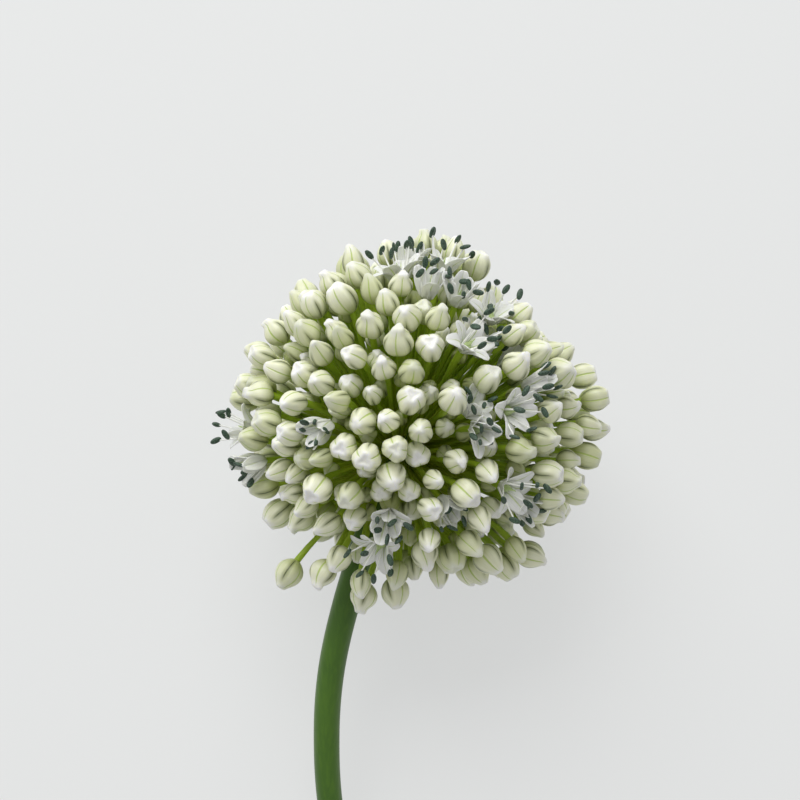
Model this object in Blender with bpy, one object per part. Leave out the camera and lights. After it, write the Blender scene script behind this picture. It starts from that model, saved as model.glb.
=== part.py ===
"""An allium flower head, cut with a short length of its scape and lying on its side.

The flower is modelled standing, as it grows: +Z up the stalk, -Y towards the side it is seen from, and the
origin at the middle of the head. It is then laid down, so that it rests on the buds of its underside and on
the cut end of the scape, and its footprint is centred on the origin. All sizes are in millimetres times MM.

An allium head is an umbel of small cymes. Each cyme here is one solid: a foot on the receptacle, the
pedicels that spring from it, and their closed buds. Each open flower is a solid of its own, on the end of
its pedicel.
"""

import math
import random

import bmesh
import bpy
import numpy as np
from mathutils import Matrix, Vector

MM = 0.001
TINY = 1e-9
GOLDEN_ANGLE = math.pi * (3 - math.sqrt(5))

# The gap between solids that touch on the real plant
CLEARANCE = 0.3 * MM

# The head
HEAD_RADIUS = 34.0 * MM
UMBEL_TILT = math.radians(20)
RECEPTACLE_CENTRE = Vector((-3.4, 0.0, -6.0)) * MM
RECEPTACLE_RADIUS = 5.0 * MM
FLORET_COUNT = 390
CYME_COUNT = 48
SCAPE_CLEAR_OF_BUDS = math.radians(12)
SCAPE_CLEAR_OF_FEET = math.radians(40)

# Where the ball of buds swells or sinks: direction it faces, height of the swelling, and its spread
SWELLINGS = (
    (Vector((0.20, 0.0, 0.98)), 5.0 * MM, 0.30),
    (Vector((1.0, 0.0, -0.04)), 5.0 * MM, 0.42),
    (Vector((-1.0, 0.0, -0.05)), 4.2 * MM, 0.36),
    (Vector((-0.5, 0.0, 0.87)), 2.6 * MM, 0.25),
    (Vector((0.62, 0.0, 0.78)), -4.2 * MM, 0.33),
    (Vector((-0.30, -0.24, -0.92)), 4.4 * MM, 0.20),
    (Vector((0.45, 0.0, -0.89)), 4.0 * MM, 0.26),
    (Vector((0.35, -0.9, -0.1)), -2.0 * MM, 0.25),
)

# A few buds on long pedicels stand out past the ball, two of them alone and three in front of the scape: each
# one's direction, the reach of its tip, and its tilt
LONG_FLORETS = (
    (Vector((-0.64, -0.10, -0.765)), 41.6 * MM, (0.25, 0.0, -0.10)),
    (Vector((0.585, -0.12, -0.80)), 38.2 * MM, (0.75, 0.0, 0.70)),
    (Vector((-0.50, -0.30, -0.81)), 38.6 * MM, (0.0, 0.0, 0.0)),
    (Vector((-0.36, -0.20, -0.91)), 39.4 * MM, (0.1, -0.1, 0.0)),
    (Vector((-0.24, -0.36, -0.90)), 38.4 * MM, (0.0, 0.1, 0.0)),
)

# Buds: length and width of a large one, and the smallest as a share of it. The deeper a bud lies in the
# head, the smaller it is, and DEPTH_SKEW makes shallow ones the commoner. WANDER is how far each direction
# strays from an even spread, and TILT how far a bud leans away from its own pedicel.
BUD_LENGTH = 6.6 * MM
BUD_WIDTH = 5.3 * MM
BELLY_AT = 0.36
SHOULDER_AT = 0.74
SHOULDER_WIDTH = 0.72
SMALLEST_BUD = 0.74
BUD_SIZES = (0.88, 1.06)
DEEPEST_BUD = 9.0 * MM
DEPTH_SKEW = 1.6
WANDER = 0.11
TILT = 0.55
PEDICEL_RADIUS = 0.42 * MM
PEDICEL_FOOT_RADIUS = 0.27 * MM
BUD_SIDES = 5
PEDICEL_SIDES = 3

# How the buds are pushed apart, a share of each push at a time. A difference in depth counts for less than
# one sideways, and a pedicel is only in the way up to the bud that it carries.
SPREADING_STEPS = 90
DEPTH_COUNTS = 0.45
BUD_PUSH = 0.35
OWN_PEDICEL_PUSH = 0.5
OTHER_PEDICEL_PUSH = 0.35
PEDICEL_SHARE = 0.92

# How florets are kept clear of each other: smaller shares of the tilt are tried in turn, and a floret with no
# room at all is left out
TILT_SHARES = (1.0, 0.6, 0.3, 0.0)
LEAST_GAP = 0.12 * MM
NEIGHBOUR_REACH = 14.0 * MM
PEDICEL_TESTS = 8
SCAPE_TESTS = 60
SCAPE_PEDICEL_TESTS = 12
OPEN_BALL_AT = 0.5
OPEN_BALL_RADIUS = 3.7 * MM

# A cyme's foot: a short block that stands on the receptacle and carries its pedicels
FOOT_BOTTOM = RECEPTACLE_RADIUS + CLEARANCE
FOOT_TOP = 8.6 * MM
FOOT_BOTTOM_RADIUS = 0.98 * MM
FOOT_TOP_RADIUS = 1.62 * MM
FOOT_SPREAD = 0.6
FOOT_REACH = FOOT_TOP_RADIUS * 0.75
FOOT_SINK = 0.5 * MM
FOOT_SIDES = 6

# The flowers that have opened, by the direction each one faces
OPEN_FLOWERS = (
    Vector((-0.20, -0.35, 0.92)),
    Vector((0.22, -0.30, 0.93)),
    Vector((0.36, -0.80, 0.48)),
    Vector((0.55, -0.45, 0.70)),
    Vector((0.62, -0.76, 0.16)),
    Vector((0.54, -0.74, -0.40)),
    Vector((-0.97, -0.15, -0.18)),
    Vector((-0.34, -0.62, -0.71)),
    Vector((0.45, 0.80, 0.40)),
    Vector((-0.50, 0.78, 0.38)),
)
OPEN_DEPTH = 1.2 * MM
OPEN_SIZE = 1.05
OPEN_WIDTH = 1.6
TEPAL_COUNT = 6
TEPAL_LENGTH = 5.8 * MM
SPREADS = (0.75, 1.0)
# Places on the cup, each as a share of a tepal's reach outwards and of its rise
BACK_OF_TEPAL, BACK_OF_NOTCH = (0.58, 0.40), (0.46, 0.34)
NOTCH_AT_RIM = (0.50, 0.56)
FLOWER_BASE_RADIUS = 0.7 * MM
STAMEN_LENGTH = 7.0 * MM
STAMEN_LEAN = 0.42
STAMEN_ASIDE = 0.2
ANTHER_LENGTH = 1.9 * MM
ANTHER_RADIUS = 0.45 * MM
FILAMENT_RADIUS = 0.18 * MM
FILAMENT_SIDES = 3
OVARY_RADIUS = 1.3 * MM
OVARY_HEIGHT = 2.4 * MM
OVARY_WIDEST = 0.4
FILAMENT_FROM_AXIS = OVARY_RADIUS * 0.5
FILAMENT_FROM_SEAT = OVARY_HEIGHT * 0.3

# Random numbers are always drawn from these seeds, so the flower is the same each time
LAYOUT_SEED = 7
FLOWER_SEED = 100

# The scape, from the receptacle to the cut: its middle line and its width
SCAPE_LINE = (
    Vector((-3.4, 0, -6.0)) * MM,
    Vector((-8.9, 0, -21.5)) * MM,
    Vector((-13.4, 0, -35.8)) * MM,
    Vector((-16.2, 0, -48.5)) * MM,
    Vector((-17.1, 0, -61.0)) * MM,
    Vector((-16.3, 0, -75.0)) * MM,
    Vector((-12.9, 0, -91.0)) * MM,
    Vector((-7.2, 0, -107.0)) * MM,
)
SCAPE_TOP_RADIUS = 2.8 * MM
SCAPE_CUT_RADIUS = 2.3 * MM
SCAPE_RINGS = 16
SCAPE_BEVEL = 3
MERGE_DISTANCE = 0.001 * MM

# How it lies: the height of the head's middle above the surface, with the lowest buds pressed in
REST_HEIGHT = 31.0 * MM
LEAN = math.asin((REST_HEIGHT - SCAPE_CUT_RADIUS) / -SCAPE_LINE[-1].z)

# Base colour and roughness
COLOURS = {
    "scape": ((0.10, 0.22, 0.045, 1), 0.45),
    "buds": ((0.76, 0.80, 0.62, 1), 0.5),
    "petals": ((0.86, 0.88, 0.80, 1), 0.45),
}


# ---- Layout: where each floret stands ----


class Floret:
    """One floret of the umbel: its pedicel runs from foot to seat, and its bud or flower faces along axis."""

    def __init__(self, foot, seat, axis, length, width, cyme, is_open):
        self.foot, self.seat, self.axis = foot, seat, axis
        self.length, self.width = length, width
        self.cyme, self.is_open = cyme, is_open


def smooth_line(points, count):
    """count points on a smooth curve through the given ones."""
    dense = []
    ends = [points[0] * 2 - points[1], *points, points[-1] * 2 - points[-2]]
    for i in range(count):
        place = i / (count - 1) * (len(points) - 1)
        k = min(int(place), len(points) - 2)
        t = place - k
        a, b, c, d = ends[k : k + 4]
        bend = (a * 2 - b * 5 + c * 4 - d) * t**2 + (b * 3 - a - c * 3 + d) * t**3
        dense.append(b + ((c - a) * t + bend) * 0.5)
    return dense


def golden_sphere(count):
    """Unit vectors spread evenly over a sphere, each a golden angle on from the last."""
    lean_right = Matrix.Rotation(UMBEL_TILT, 3, "Y")
    points = []
    for i in range(count):
        height = 1 - (2 * i + 1) / count
        away = math.sqrt(1 - height * height)
        turn = GOLDEN_ANGLE * i
        points.append(lean_right @ Vector((away * math.cos(turn), away * math.sin(turn), height)))
    return points


def head_radius(directions):
    """How far the outermost bud tips are from the head's middle, for an array of unit directions."""
    radius = np.full(len(directions), HEAD_RADIUS)
    for facing, height, spread in SWELLINGS:
        cosine = directions @ np.array(facing.normalized())
        radius += height * np.exp((cosine - 1) / spread**2)
    return radius


def height_above_surface(point):
    """Height of a point of the standing flower once it lies down."""
    return REST_HEIGHT + point.z * math.sin(LEAN) - point.y * math.cos(LEAN)


def apart_from_buds(centres, directions, widths):
    """How far each bud has to move sideways to have room beside the other buds."""
    apart = centres[:, None, :] - centres[None, :, :]
    outward = (apart * directions[:, None, :]).sum(axis=2)[..., None] * directions[:, None, :]
    sideways = apart - outward
    gap = np.sqrt((sideways**2).sum(axis=2) + DEPTH_COUNTS * (outward**2).sum(axis=2)) + TINY
    wanted = (widths[:, None] + widths[None, :]) / 2 + 2 * CLEARANCE
    push = np.clip(wanted - gap, 0, None) / gap
    np.fill_diagonal(push, 0)
    return (sideways * push[..., None]).sum(axis=1) * BUD_PUSH


def apart_from_pedicels(centres, widths):
    """How far each bud has to move to clear the others' pedicels, which run from the receptacle."""
    root = np.array(RECEPTACLE_CENTRE)
    stalk = centres - root
    along = ((centres[:, None, :] - root) * stalk[None]).sum(axis=2) / (stalk**2).sum(axis=1)[None]
    nearest = root + np.clip(along, 0, PEDICEL_SHARE)[..., None] * stalk[None]
    off = centres[:, None, :] - nearest
    gap = np.sqrt((off**2).sum(axis=2)) + TINY
    wanted = widths[:, None] / 2 + PEDICEL_RADIUS + CLEARANCE
    push = np.clip(wanted - gap, 0, None) / gap
    np.fill_diagonal(push, 0)
    pushed = off * push[..., None]
    return pushed.sum(axis=1) * OWN_PEDICEL_PUSH - pushed.sum(axis=0) * OTHER_PEDICEL_PUSH


def spread_out(directions, depths, widths):
    """Moves the buds sideways until each has room beside its neighbours and beside their pedicels."""
    for _ in range(SPREADING_STEPS):
        radius = head_radius(directions) - depths - BUD_LENGTH / 2
        centres = directions * radius[:, None]
        moved = apart_from_buds(centres, directions, widths) + apart_from_pedicels(centres, widths)
        centres = centres + moved
        directions = centres / np.sqrt((centres**2).sum(axis=1))[:, None]
    return directions


def scattered(scape_way):
    """Directions, depths, sizes and tilts of the florets before they are spread out."""
    rng = random.Random(LAYOUT_SEED)
    directions, depths, sizes, tilts = [], [], [], []
    for way in golden_sphere(FLORET_COUNT):
        wander = Vector([rng.uniform(-1, 1) for _ in range(3)]) * WANDER
        depth = rng.random() ** DEPTH_SKEW * DEEPEST_BUD
        shrink = 1 - (1 - SMALLEST_BUD) * depth / DEEPEST_BUD
        directions.append((way + wander).normalized())
        depths.append(depth)
        sizes.append(shrink * rng.uniform(*BUD_SIZES))
        tilts.append([rng.uniform(-TILT, TILT) for _ in range(3)])
    for way, reach, tilt in LONG_FLORETS:
        directions.append(way.normalized())
        depths.append(head_radius(np.array([way.normalized()]))[0] - reach)
        sizes.append(1.0)
        tilts.append(tilt)
    directions, depths, sizes, tilts = map(np.array, (directions, depths, sizes, tilts))
    keep = directions @ np.array(scape_way) < math.cos(SCAPE_CLEAR_OF_BUDS)
    return directions[keep], depths[keep], sizes[keep], tilts[keep]


def nearest_florets(directions):
    """Which florets face the directions of OPEN_FLOWERS, as an array of true and false."""
    is_open = np.zeros(len(directions), bool)
    for facing in OPEN_FLOWERS:
        nearness = directions @ np.array(facing.normalized())
        nearness[is_open] = -1
        is_open[int(np.argmax(nearness))] = True
    return is_open


def place_florets():
    """Every floret of the head, in the standing flower's frame, and the directions of the cymes."""
    scape_way = (SCAPE_LINE[2] - SCAPE_LINE[0]).normalized()
    clear_of_scape = math.cos(SCAPE_CLEAR_OF_FEET)
    cyme_ways = [way for way in golden_sphere(CYME_COUNT) if way.dot(scape_way) < clear_of_scape]
    directions, depths, sizes, tilts = scattered(scape_way)
    is_open = nearest_florets(directions)
    depths[is_open] = OPEN_DEPTH
    sizes[is_open] = OPEN_SIZE
    widths = np.where(is_open, OPEN_WIDTH, 1.0) * sizes * BUD_WIDTH
    directions = spread_out(directions, depths, widths)
    reaches = head_radius(directions) - depths
    florets = []
    first_come = sorted(range(len(directions)), key=lambda k: depths[k] > 0 and not is_open[k])
    for k in first_come:
        for share in TILT_SHARES:
            tilt = Vector(tilts[k]) * share
            floret = floret_at(Vector(directions[k]), reaches[k], sizes[k], tilt, bool(is_open[k]), cyme_ways)
            if floret and has_room(floret, florets):
                florets.append(floret)
                break
    print(len(florets), "florets in", len(cyme_ways), "cymes")
    return florets, cyme_ways


def floret_at(way, reach, size, tilt, is_open, cyme_ways):
    """The floret whose tip is at reach along way, or None if it would touch the scape."""
    length, width = size * BUD_LENGTH, size * BUD_WIDTH
    middle = way * (reach - length / 2)
    axis = (way + (middle - RECEPTACLE_CENTRE).normalized() + tilt).normalized()
    middle = lifted(middle, axis, length, width)
    cyme, foot = foot_of(middle, cyme_ways)
    seat = middle - axis * length / 2
    if not clears_scape(foot, seat, middle, width):
        return None
    return Floret(foot, seat, axis, length, width, cyme, is_open)


def foot_of(middle, cyme_ways):
    """The cyme that a bud belongs to, and where its pedicel starts inside that cyme's foot."""
    stalk_way = (middle - RECEPTACLE_CENTRE).normalized()
    cyme = max(range(len(cyme_ways)), key=lambda k: cyme_ways[k].dot(stalk_way))
    foot_way = cyme_ways[cyme]
    aside = (stalk_way / stalk_way.dot(foot_way) - foot_way) * FOOT_TOP * FOOT_SPREAD
    if aside.length > FOOT_REACH:
        aside *= FOOT_REACH / aside.length
    return cyme, RECEPTACLE_CENTRE + foot_way * (FOOT_TOP - FOOT_SINK) + aside


def lifted(middle, axis, length, width):
    """A bud's middle drawn in along its pedicel until the bud clears the surface that the flower lies on."""
    up = Vector((0, -math.cos(LEAN), math.sin(LEAN)))
    cosine = axis.dot(up)
    half_height = math.sqrt((length / 2 * cosine) ** 2 + (width / 2) ** 2 * (1 - cosine * cosine))
    height, root_height = height_above_surface(middle), height_above_surface(RECEPTACLE_CENTRE)
    if height >= half_height:
        return middle
    share = (root_height - half_height) / (root_height - height)
    return RECEPTACLE_CENTRE + (middle - RECEPTACLE_CENTRE) * share


def clears_scape(foot, seat, middle, width):
    """Whether a pedicel and its bud pass beside the scape with room to spare."""
    line = smooth_line(SCAPE_LINE, SCAPE_TESTS)
    places = [foot.lerp(seat, k / SCAPE_PEDICEL_TESTS) for k in range(SCAPE_PEDICEL_TESTS + 1)]
    pedicel_gap = min((place - at).length for place in places for at in line) - PEDICEL_RADIUS
    bud_gap = min((middle - at).length for at in line) - width / 2
    return min(pedicel_gap, bud_gap) > SCAPE_TOP_RADIUS + 2 * CLEARANCE


def balls_of(floret):
    """Two balls that fill a bud or an open flower: the middle and radius of each."""
    if floret.is_open:
        return [(floret.seat + floret.axis * floret.length * OPEN_BALL_AT, OPEN_BALL_RADIUS)]
    low = floret.seat + floret.axis * floret.length * BELLY_AT
    high = floret.seat + floret.axis * floret.length * SHOULDER_AT
    return [(low, floret.width / 2), (high, floret.width / 2 * SHOULDER_WIDTH)]


def off_pedicel(point, floret):
    """How far a point is from the middle line of a pedicel."""
    stalk = floret.seat - floret.foot
    share = min(max((point - floret.foot).dot(stalk) / stalk.length_squared, 0), 1)
    return (point - floret.foot - stalk * share).length


def has_room(floret, others):
    """Whether a floret keeps clear of the ones placed before it, apart from the pedicels of its own cyme."""
    pedicel = [floret.foot.lerp(floret.seat, k / PEDICEL_TESTS) for k in range(PEDICEL_TESTS + 1)]
    for other in others:
        if (floret.seat - other.seat).length > NEIGHBOUR_REACH:
            continue
        for middle, radius in balls_of(floret):
            if off_pedicel(middle, other) < radius + PEDICEL_RADIUS + LEAST_GAP:
                return False
            if any((middle - at).length < radius + size + LEAST_GAP for at, size in balls_of(other)):
                return False
        for middle, radius in balls_of(other):
            if off_pedicel(middle, floret) < radius + PEDICEL_RADIUS + LEAST_GAP:
                return False
        if floret.cyme != other.cyme:
            if min(off_pedicel(place, other) for place in pedicel) < 2 * PEDICEL_RADIUS + LEAST_GAP:
                return False
    return True


# ---- Mesh tools ----


def frame_along(axis):
    """A rotation that turns +Z onto axis."""
    return axis.to_track_quat("Z", "Y").to_matrix()


def ring(bm, centre, turned, radius, sides):
    """A ring of vertices round the +Z of a rotation, turned."""
    made = []
    for k in range(sides):
        angle = 2 * math.pi * k / sides
        made.append(bm.verts.new(centre + turned @ Vector((math.cos(angle), math.sin(angle), 0)) * radius))
    return made


def star(bm, centre, turned, reach, rise, on_tepal, in_notch):
    """A ring of vertices on the middles of the tepals and in the notches between them, by turns.

    Each place is given by its share of the reach, away from the flower's axis, and of the rise along it."""
    made = []
    for k in range(2 * TEPAL_COUNT):
        away, height = in_notch if k % 2 else on_tepal
        angle = math.pi * k / TEPAL_COUNT
        place = Vector((reach * away * math.cos(angle), reach * away * math.sin(angle), rise * height))
        made.append(bm.verts.new(centre + turned @ place))
    return made


def skin(bm, lower, upper):
    """Faces between two rings, whose counts may differ, from the lower one up."""
    low, high = len(lower), len(upper)
    i = j = 0
    while i < low or j < high:
        if j >= high or (i < low and (i + 1) / low <= (j + 1) / high):
            bm.faces.new((lower[i % low], lower[(i + 1) % low], upper[j % high]))
            i += 1
        else:
            bm.faces.new((lower[i % low], upper[(j + 1) % high], upper[j % high]))
            j += 1


def close_with_point(bm, last, point):
    """Faces from a ring to a point."""
    tip = bm.verts.new(point)
    for k in range(len(last)):
        bm.faces.new((last[k], last[(k + 1) % len(last)], tip))


def new_object(name, bm, kind, collection):
    """An object from a bmesh, which is freed, with the material for its kind."""
    bmesh.ops.recalc_face_normals(bm, faces=bm.faces)
    mesh = bpy.data.meshes.new(name)
    bm.to_mesh(mesh)
    bm.free()
    obj = bpy.data.objects.new(name, mesh)
    collection.objects.link(obj)
    mesh.materials.append(material(kind))
    return obj


def material(kind):
    """The material of a kind, made the first time it is asked for."""
    found = bpy.data.materials.get(kind)
    if found:
        return found
    colour, roughness = COLOURS[kind]
    made = bpy.data.materials.new(kind)
    made.use_nodes = True
    shader = made.node_tree.nodes["Principled BSDF"]
    shader.inputs["Base Color"].default_value = colour
    shader.inputs["Roughness"].default_value = roughness
    return made


def unite(body, pieces):
    """Joins pieces, which overlap body, into it as one solid, and removes them."""
    for piece in pieces:
        joint = body.modifiers.new("join", "BOOLEAN")
        joint.operation = "UNION"
        joint.solver = "EXACT"
        joint.object = piece
    graph = bpy.context.evaluated_depsgraph_get()
    joined = bpy.data.meshes.new_from_object(body.evaluated_get(graph))
    body.modifiers.clear()
    body.data = joined
    for piece in pieces:
        bpy.data.objects.remove(piece)


# ---- The pieces ----


def build_floret(floret, collection):
    """A pedicel and, if it is still closed, its bud."""
    bm = bmesh.new()
    stalk_way = (floret.seat - floret.foot).normalized()
    along_stalk = frame_along(stalk_way)
    foot = ring(bm, floret.foot, along_stalk, PEDICEL_FOOT_RADIUS, PEDICEL_SIDES)
    bm.faces.new(list(reversed(foot)))
    if floret.is_open:
        end = ring(bm, floret.seat - stalk_way * CLEARANCE, along_stalk, PEDICEL_RADIUS, PEDICEL_SIDES)
        skin(bm, foot, end)
        bm.faces.new(end)
        return new_object("floret", bm, "buds", collection)
    along_bud = stalk_way.rotation_difference(floret.axis).to_matrix() @ along_stalk
    upward = floret.axis * floret.length
    seat = ring(bm, floret.seat, along_bud, PEDICEL_RADIUS, PEDICEL_SIDES)
    belly = ring(bm, floret.seat + upward * BELLY_AT, along_bud, floret.width / 2, BUD_SIDES)
    shoulder_radius = floret.width / 2 * SHOULDER_WIDTH
    shoulder = ring(bm, floret.seat + upward * SHOULDER_AT, along_bud, shoulder_radius, BUD_SIDES)
    skin(bm, foot, seat)
    skin(bm, seat, belly)
    skin(bm, belly, shoulder)
    close_with_point(bm, shoulder, floret.seat + upward)
    return new_object("floret", bm, "buds", collection)


def build_cyme(number, way, florets, collection):
    """One cyme: its foot on the receptacle, its pedicels and its closed buds."""
    bm = bmesh.new()
    along = frame_along(way)
    bottom = ring(bm, RECEPTACLE_CENTRE + way * FOOT_BOTTOM, along, FOOT_BOTTOM_RADIUS, FOOT_SIDES)
    top = ring(bm, RECEPTACLE_CENTRE + way * FOOT_TOP, along, FOOT_TOP_RADIUS, FOOT_SIDES)
    bm.faces.new(list(reversed(bottom)))
    skin(bm, bottom, top)
    bm.faces.new(top)
    cyme = new_object(f"cyme_{number:02d}", bm, "buds", collection)
    unite(cyme, [build_floret(floret, collection) for floret in florets])


def build_perianth(name, floret, turned, spread, collection):
    """The six tepals, which are grown together at the base, as one notched cup with the ovary in it."""
    reach = TEPAL_LENGTH * math.sin(spread)
    rise = TEPAL_LENGTH * math.cos(spread)
    bm = bmesh.new()
    base = ring(bm, floret.seat, turned, FLOWER_BASE_RADIUS, TEPAL_COUNT)
    back = star(bm, floret.seat, turned, reach, rise, BACK_OF_TEPAL, BACK_OF_NOTCH)
    rim = star(bm, floret.seat, turned, reach, rise, (1.0, 1.0), NOTCH_AT_RIM)
    ovary_at = floret.seat + floret.axis * OVARY_HEIGHT * OVARY_WIDEST
    ovary = ring(bm, ovary_at, turned, OVARY_RADIUS, TEPAL_COUNT)
    bm.faces.new(list(reversed(base)))
    skin(bm, base, back)
    skin(bm, back, rim)
    skin(bm, rim, ovary)
    close_with_point(bm, ovary, floret.seat + floret.axis * OVARY_HEIGHT)
    return new_object(name, bm, "petals", collection)


def build_stamen(floret, outward, collection):
    """A filament that swells into its anther."""
    way = (floret.axis + outward * STAMEN_LEAN).normalized()
    start = floret.seat + floret.axis * FILAMENT_FROM_SEAT + outward * FILAMENT_FROM_AXIS
    along = frame_along(way)
    bm = bmesh.new()
    low = ring(bm, start, along, FILAMENT_RADIUS, FILAMENT_SIDES)
    neck_at = start + way * (STAMEN_LENGTH - ANTHER_LENGTH)
    neck = ring(bm, neck_at, along, FILAMENT_RADIUS, FILAMENT_SIDES)
    anther = ring(bm, neck_at + way * ANTHER_LENGTH / 2, along, ANTHER_RADIUS, FILAMENT_SIDES)
    bm.faces.new(list(reversed(low)))
    skin(bm, low, neck)
    skin(bm, neck, anther)
    close_with_point(bm, anther, start + way * STAMEN_LENGTH)
    return new_object("stamen", bm, "petals", collection)


def build_open_flower(number, floret, collection):
    """An open flower: its tepals and ovary, and a stamen almost in front of each tepal."""
    spread = random.Random(FLOWER_SEED + number).uniform(*SPREADS)
    turned = frame_along(floret.axis)
    flower = build_perianth(f"open_flower_{number:02d}", floret, turned, spread, collection)
    stamens = []
    for k in range(TEPAL_COUNT):
        angle = 2 * math.pi * k / TEPAL_COUNT + STAMEN_ASIDE
        outward = turned @ Vector((math.cos(angle), math.sin(angle), 0))
        stamens.append(build_stamen(floret, outward, collection))
    unite(flower, stamens)


def build_stalk(collection):
    """The tube of the scape, from its cut end to the middle of the receptacle."""
    curve = bpy.data.curves.new("scape", "CURVE")
    curve.dimensions = "3D"
    curve.bevel_depth = 1.0
    curve.bevel_resolution = SCAPE_BEVEL
    curve.use_fill_caps = True
    line = smooth_line(SCAPE_LINE, SCAPE_RINGS)
    spline = curve.splines.new("POLY")
    spline.points.add(SCAPE_RINGS - 1)
    for k, (point, at) in enumerate(zip(spline.points, line)):
        point.co = (*at, 1)
        point.radius = SCAPE_TOP_RADIUS + (SCAPE_CUT_RADIUS - SCAPE_TOP_RADIUS) * k / (SCAPE_RINGS - 1)
    tube = bpy.data.objects.new("tube", curve)
    collection.objects.link(tube)
    graph = bpy.context.evaluated_depsgraph_get()
    bm = bmesh.new()
    bm.from_mesh(bpy.data.meshes.new_from_object(tube.evaluated_get(graph)))
    bpy.data.objects.remove(tube)
    bmesh.ops.remove_doubles(bm, verts=bm.verts, dist=MERGE_DISTANCE)
    return new_object("stalk", bm, "scape", collection)


def build_scape(collection):
    """The scape, and the receptacle that it swells into at the top."""
    bm = bmesh.new()
    at_centre = Matrix.Translation(RECEPTACLE_CENTRE)
    bmesh.ops.create_icosphere(bm, subdivisions=2, radius=RECEPTACLE_RADIUS, matrix=at_centre)
    scape = new_object("scape", bm, "scape", collection)
    unite(scape, [build_stalk(collection)])


def lay_down(collection):
    """Turns the standing flower onto its side and centres its footprint on the origin."""
    turn = Matrix.Rotation(LEAN - math.pi / 2, 4, "X")
    for obj in collection.objects:
        obj.data.transform(turn)
    points = [v.co for obj in collection.objects for v in obj.data.vertices]
    low = Vector([min(p[k] for p in points) for k in range(3)])
    high = Vector([max(p[k] for p in points) for k in range(3)])
    shift = Vector((-(low.x + high.x) / 2, -(low.y + high.y) / 2, -low.z))
    for obj in collection.objects:
        obj.data.transform(Matrix.Translation(shift))
    print("head centre at", shift)


def main():
    for obj in list(bpy.data.objects):
        bpy.data.objects.remove(obj)
    collection = bpy.data.collections.new("allium_flower_head")
    bpy.context.scene.collection.children.link(collection)
    florets, cyme_ways = place_florets()
    build_scape(collection)
    for number, way in enumerate(cyme_ways):
        members = [floret for floret in florets if floret.cyme == number]
        if members:
            build_cyme(number + 1, way, members, collection)
    for number, floret in enumerate([floret for floret in florets if floret.is_open]):
        build_open_flower(number + 1, floret, collection)
    lay_down(collection)


main()
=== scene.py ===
# %% [markdown]
# # An allium flower head
#
# This lesson dresses a measured model of an allium flower head, piece by piece. The head is a ball of small
# flowers, called florets, most of them still closed buds. Each stands on a thin stalk, its pedicel, and all
# the pedicels spring from the swollen top of one thick bare stalk, the scape. The flower has been cut and
# lies on its side. The measured model is loaded first, because every piece has to stay on it.

# %% Load the measured model
import math
import random

import bpy
import numpy as np
from mathutils import Matrix, Vector


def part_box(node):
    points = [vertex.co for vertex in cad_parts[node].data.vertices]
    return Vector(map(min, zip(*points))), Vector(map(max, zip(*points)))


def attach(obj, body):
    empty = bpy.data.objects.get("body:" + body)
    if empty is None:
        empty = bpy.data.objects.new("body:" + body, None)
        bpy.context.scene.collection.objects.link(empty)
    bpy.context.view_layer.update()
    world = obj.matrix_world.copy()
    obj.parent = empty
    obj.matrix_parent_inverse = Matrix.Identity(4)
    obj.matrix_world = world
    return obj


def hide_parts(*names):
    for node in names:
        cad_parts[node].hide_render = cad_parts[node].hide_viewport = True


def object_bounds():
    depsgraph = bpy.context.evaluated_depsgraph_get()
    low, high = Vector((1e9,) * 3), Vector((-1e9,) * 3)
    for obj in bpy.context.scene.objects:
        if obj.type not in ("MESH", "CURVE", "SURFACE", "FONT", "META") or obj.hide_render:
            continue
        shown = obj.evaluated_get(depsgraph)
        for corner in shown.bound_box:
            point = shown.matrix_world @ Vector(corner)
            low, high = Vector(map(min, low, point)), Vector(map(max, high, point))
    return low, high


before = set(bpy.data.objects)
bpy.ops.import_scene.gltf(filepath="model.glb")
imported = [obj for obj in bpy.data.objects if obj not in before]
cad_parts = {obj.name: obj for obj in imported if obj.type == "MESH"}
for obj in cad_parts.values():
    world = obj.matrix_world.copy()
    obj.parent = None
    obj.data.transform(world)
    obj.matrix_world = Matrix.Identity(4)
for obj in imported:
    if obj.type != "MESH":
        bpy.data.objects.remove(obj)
cad_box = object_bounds()
MM = 0.001
cad_size = (cad_box[1] - cad_box[0]) / MM
print(len(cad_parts), "nodes, box in mm", [round(side, 1) for side in cad_size])

# %% [markdown]
# ## Where every floret stands
#
# The model was laid out standing, as the flower grows: +Z up the stalk, -Y towards the viewer, and the origin
# at the middle of the head. Points are spread evenly over a sphere by the golden angle, the way a plant packs
# its seeds, and are then pushed apart. A floret that still has no room is set straighter, and left out if
# that doesn't help. The same rules with the same seed give the same florets as in the model, so they are
# repeated here. That is shorter than measuring hundreds of buds back from the solids, and it says which way
# each one faces.

# %% The head's own sizes
CLEARANCE = 0.3 * MM
GOLDEN_ANGLE = math.pi * (3 - math.sqrt(5))
HEAD_RADIUS = 34.0 * MM
UMBEL_TILT = math.radians(20)
RECEPTACLE_CENTRE = Vector((-3.4, 0.0, -6.0)) * MM
RECEPTACLE_RADIUS = 5.0 * MM
FLORET_COUNT = 390
CYME_COUNT = 48
SCAPE_CLEAR_OF_BUDS = math.radians(12)
SCAPE_CLEAR_OF_FEET = math.radians(40)
SWELLINGS = (
    (Vector((0.20, 0.0, 0.98)), 5.0 * MM, 0.30),
    (Vector((1.0, 0.0, -0.04)), 5.0 * MM, 0.42),
    (Vector((-1.0, 0.0, -0.05)), 4.2 * MM, 0.36),
    (Vector((-0.5, 0.0, 0.87)), 2.6 * MM, 0.25),
    (Vector((0.62, 0.0, 0.78)), -4.2 * MM, 0.33),
    (Vector((-0.30, -0.24, -0.92)), 4.4 * MM, 0.20),
    (Vector((0.45, 0.0, -0.89)), 4.0 * MM, 0.26),
    (Vector((0.35, -0.9, -0.1)), -2.0 * MM, 0.25),
)

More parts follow.
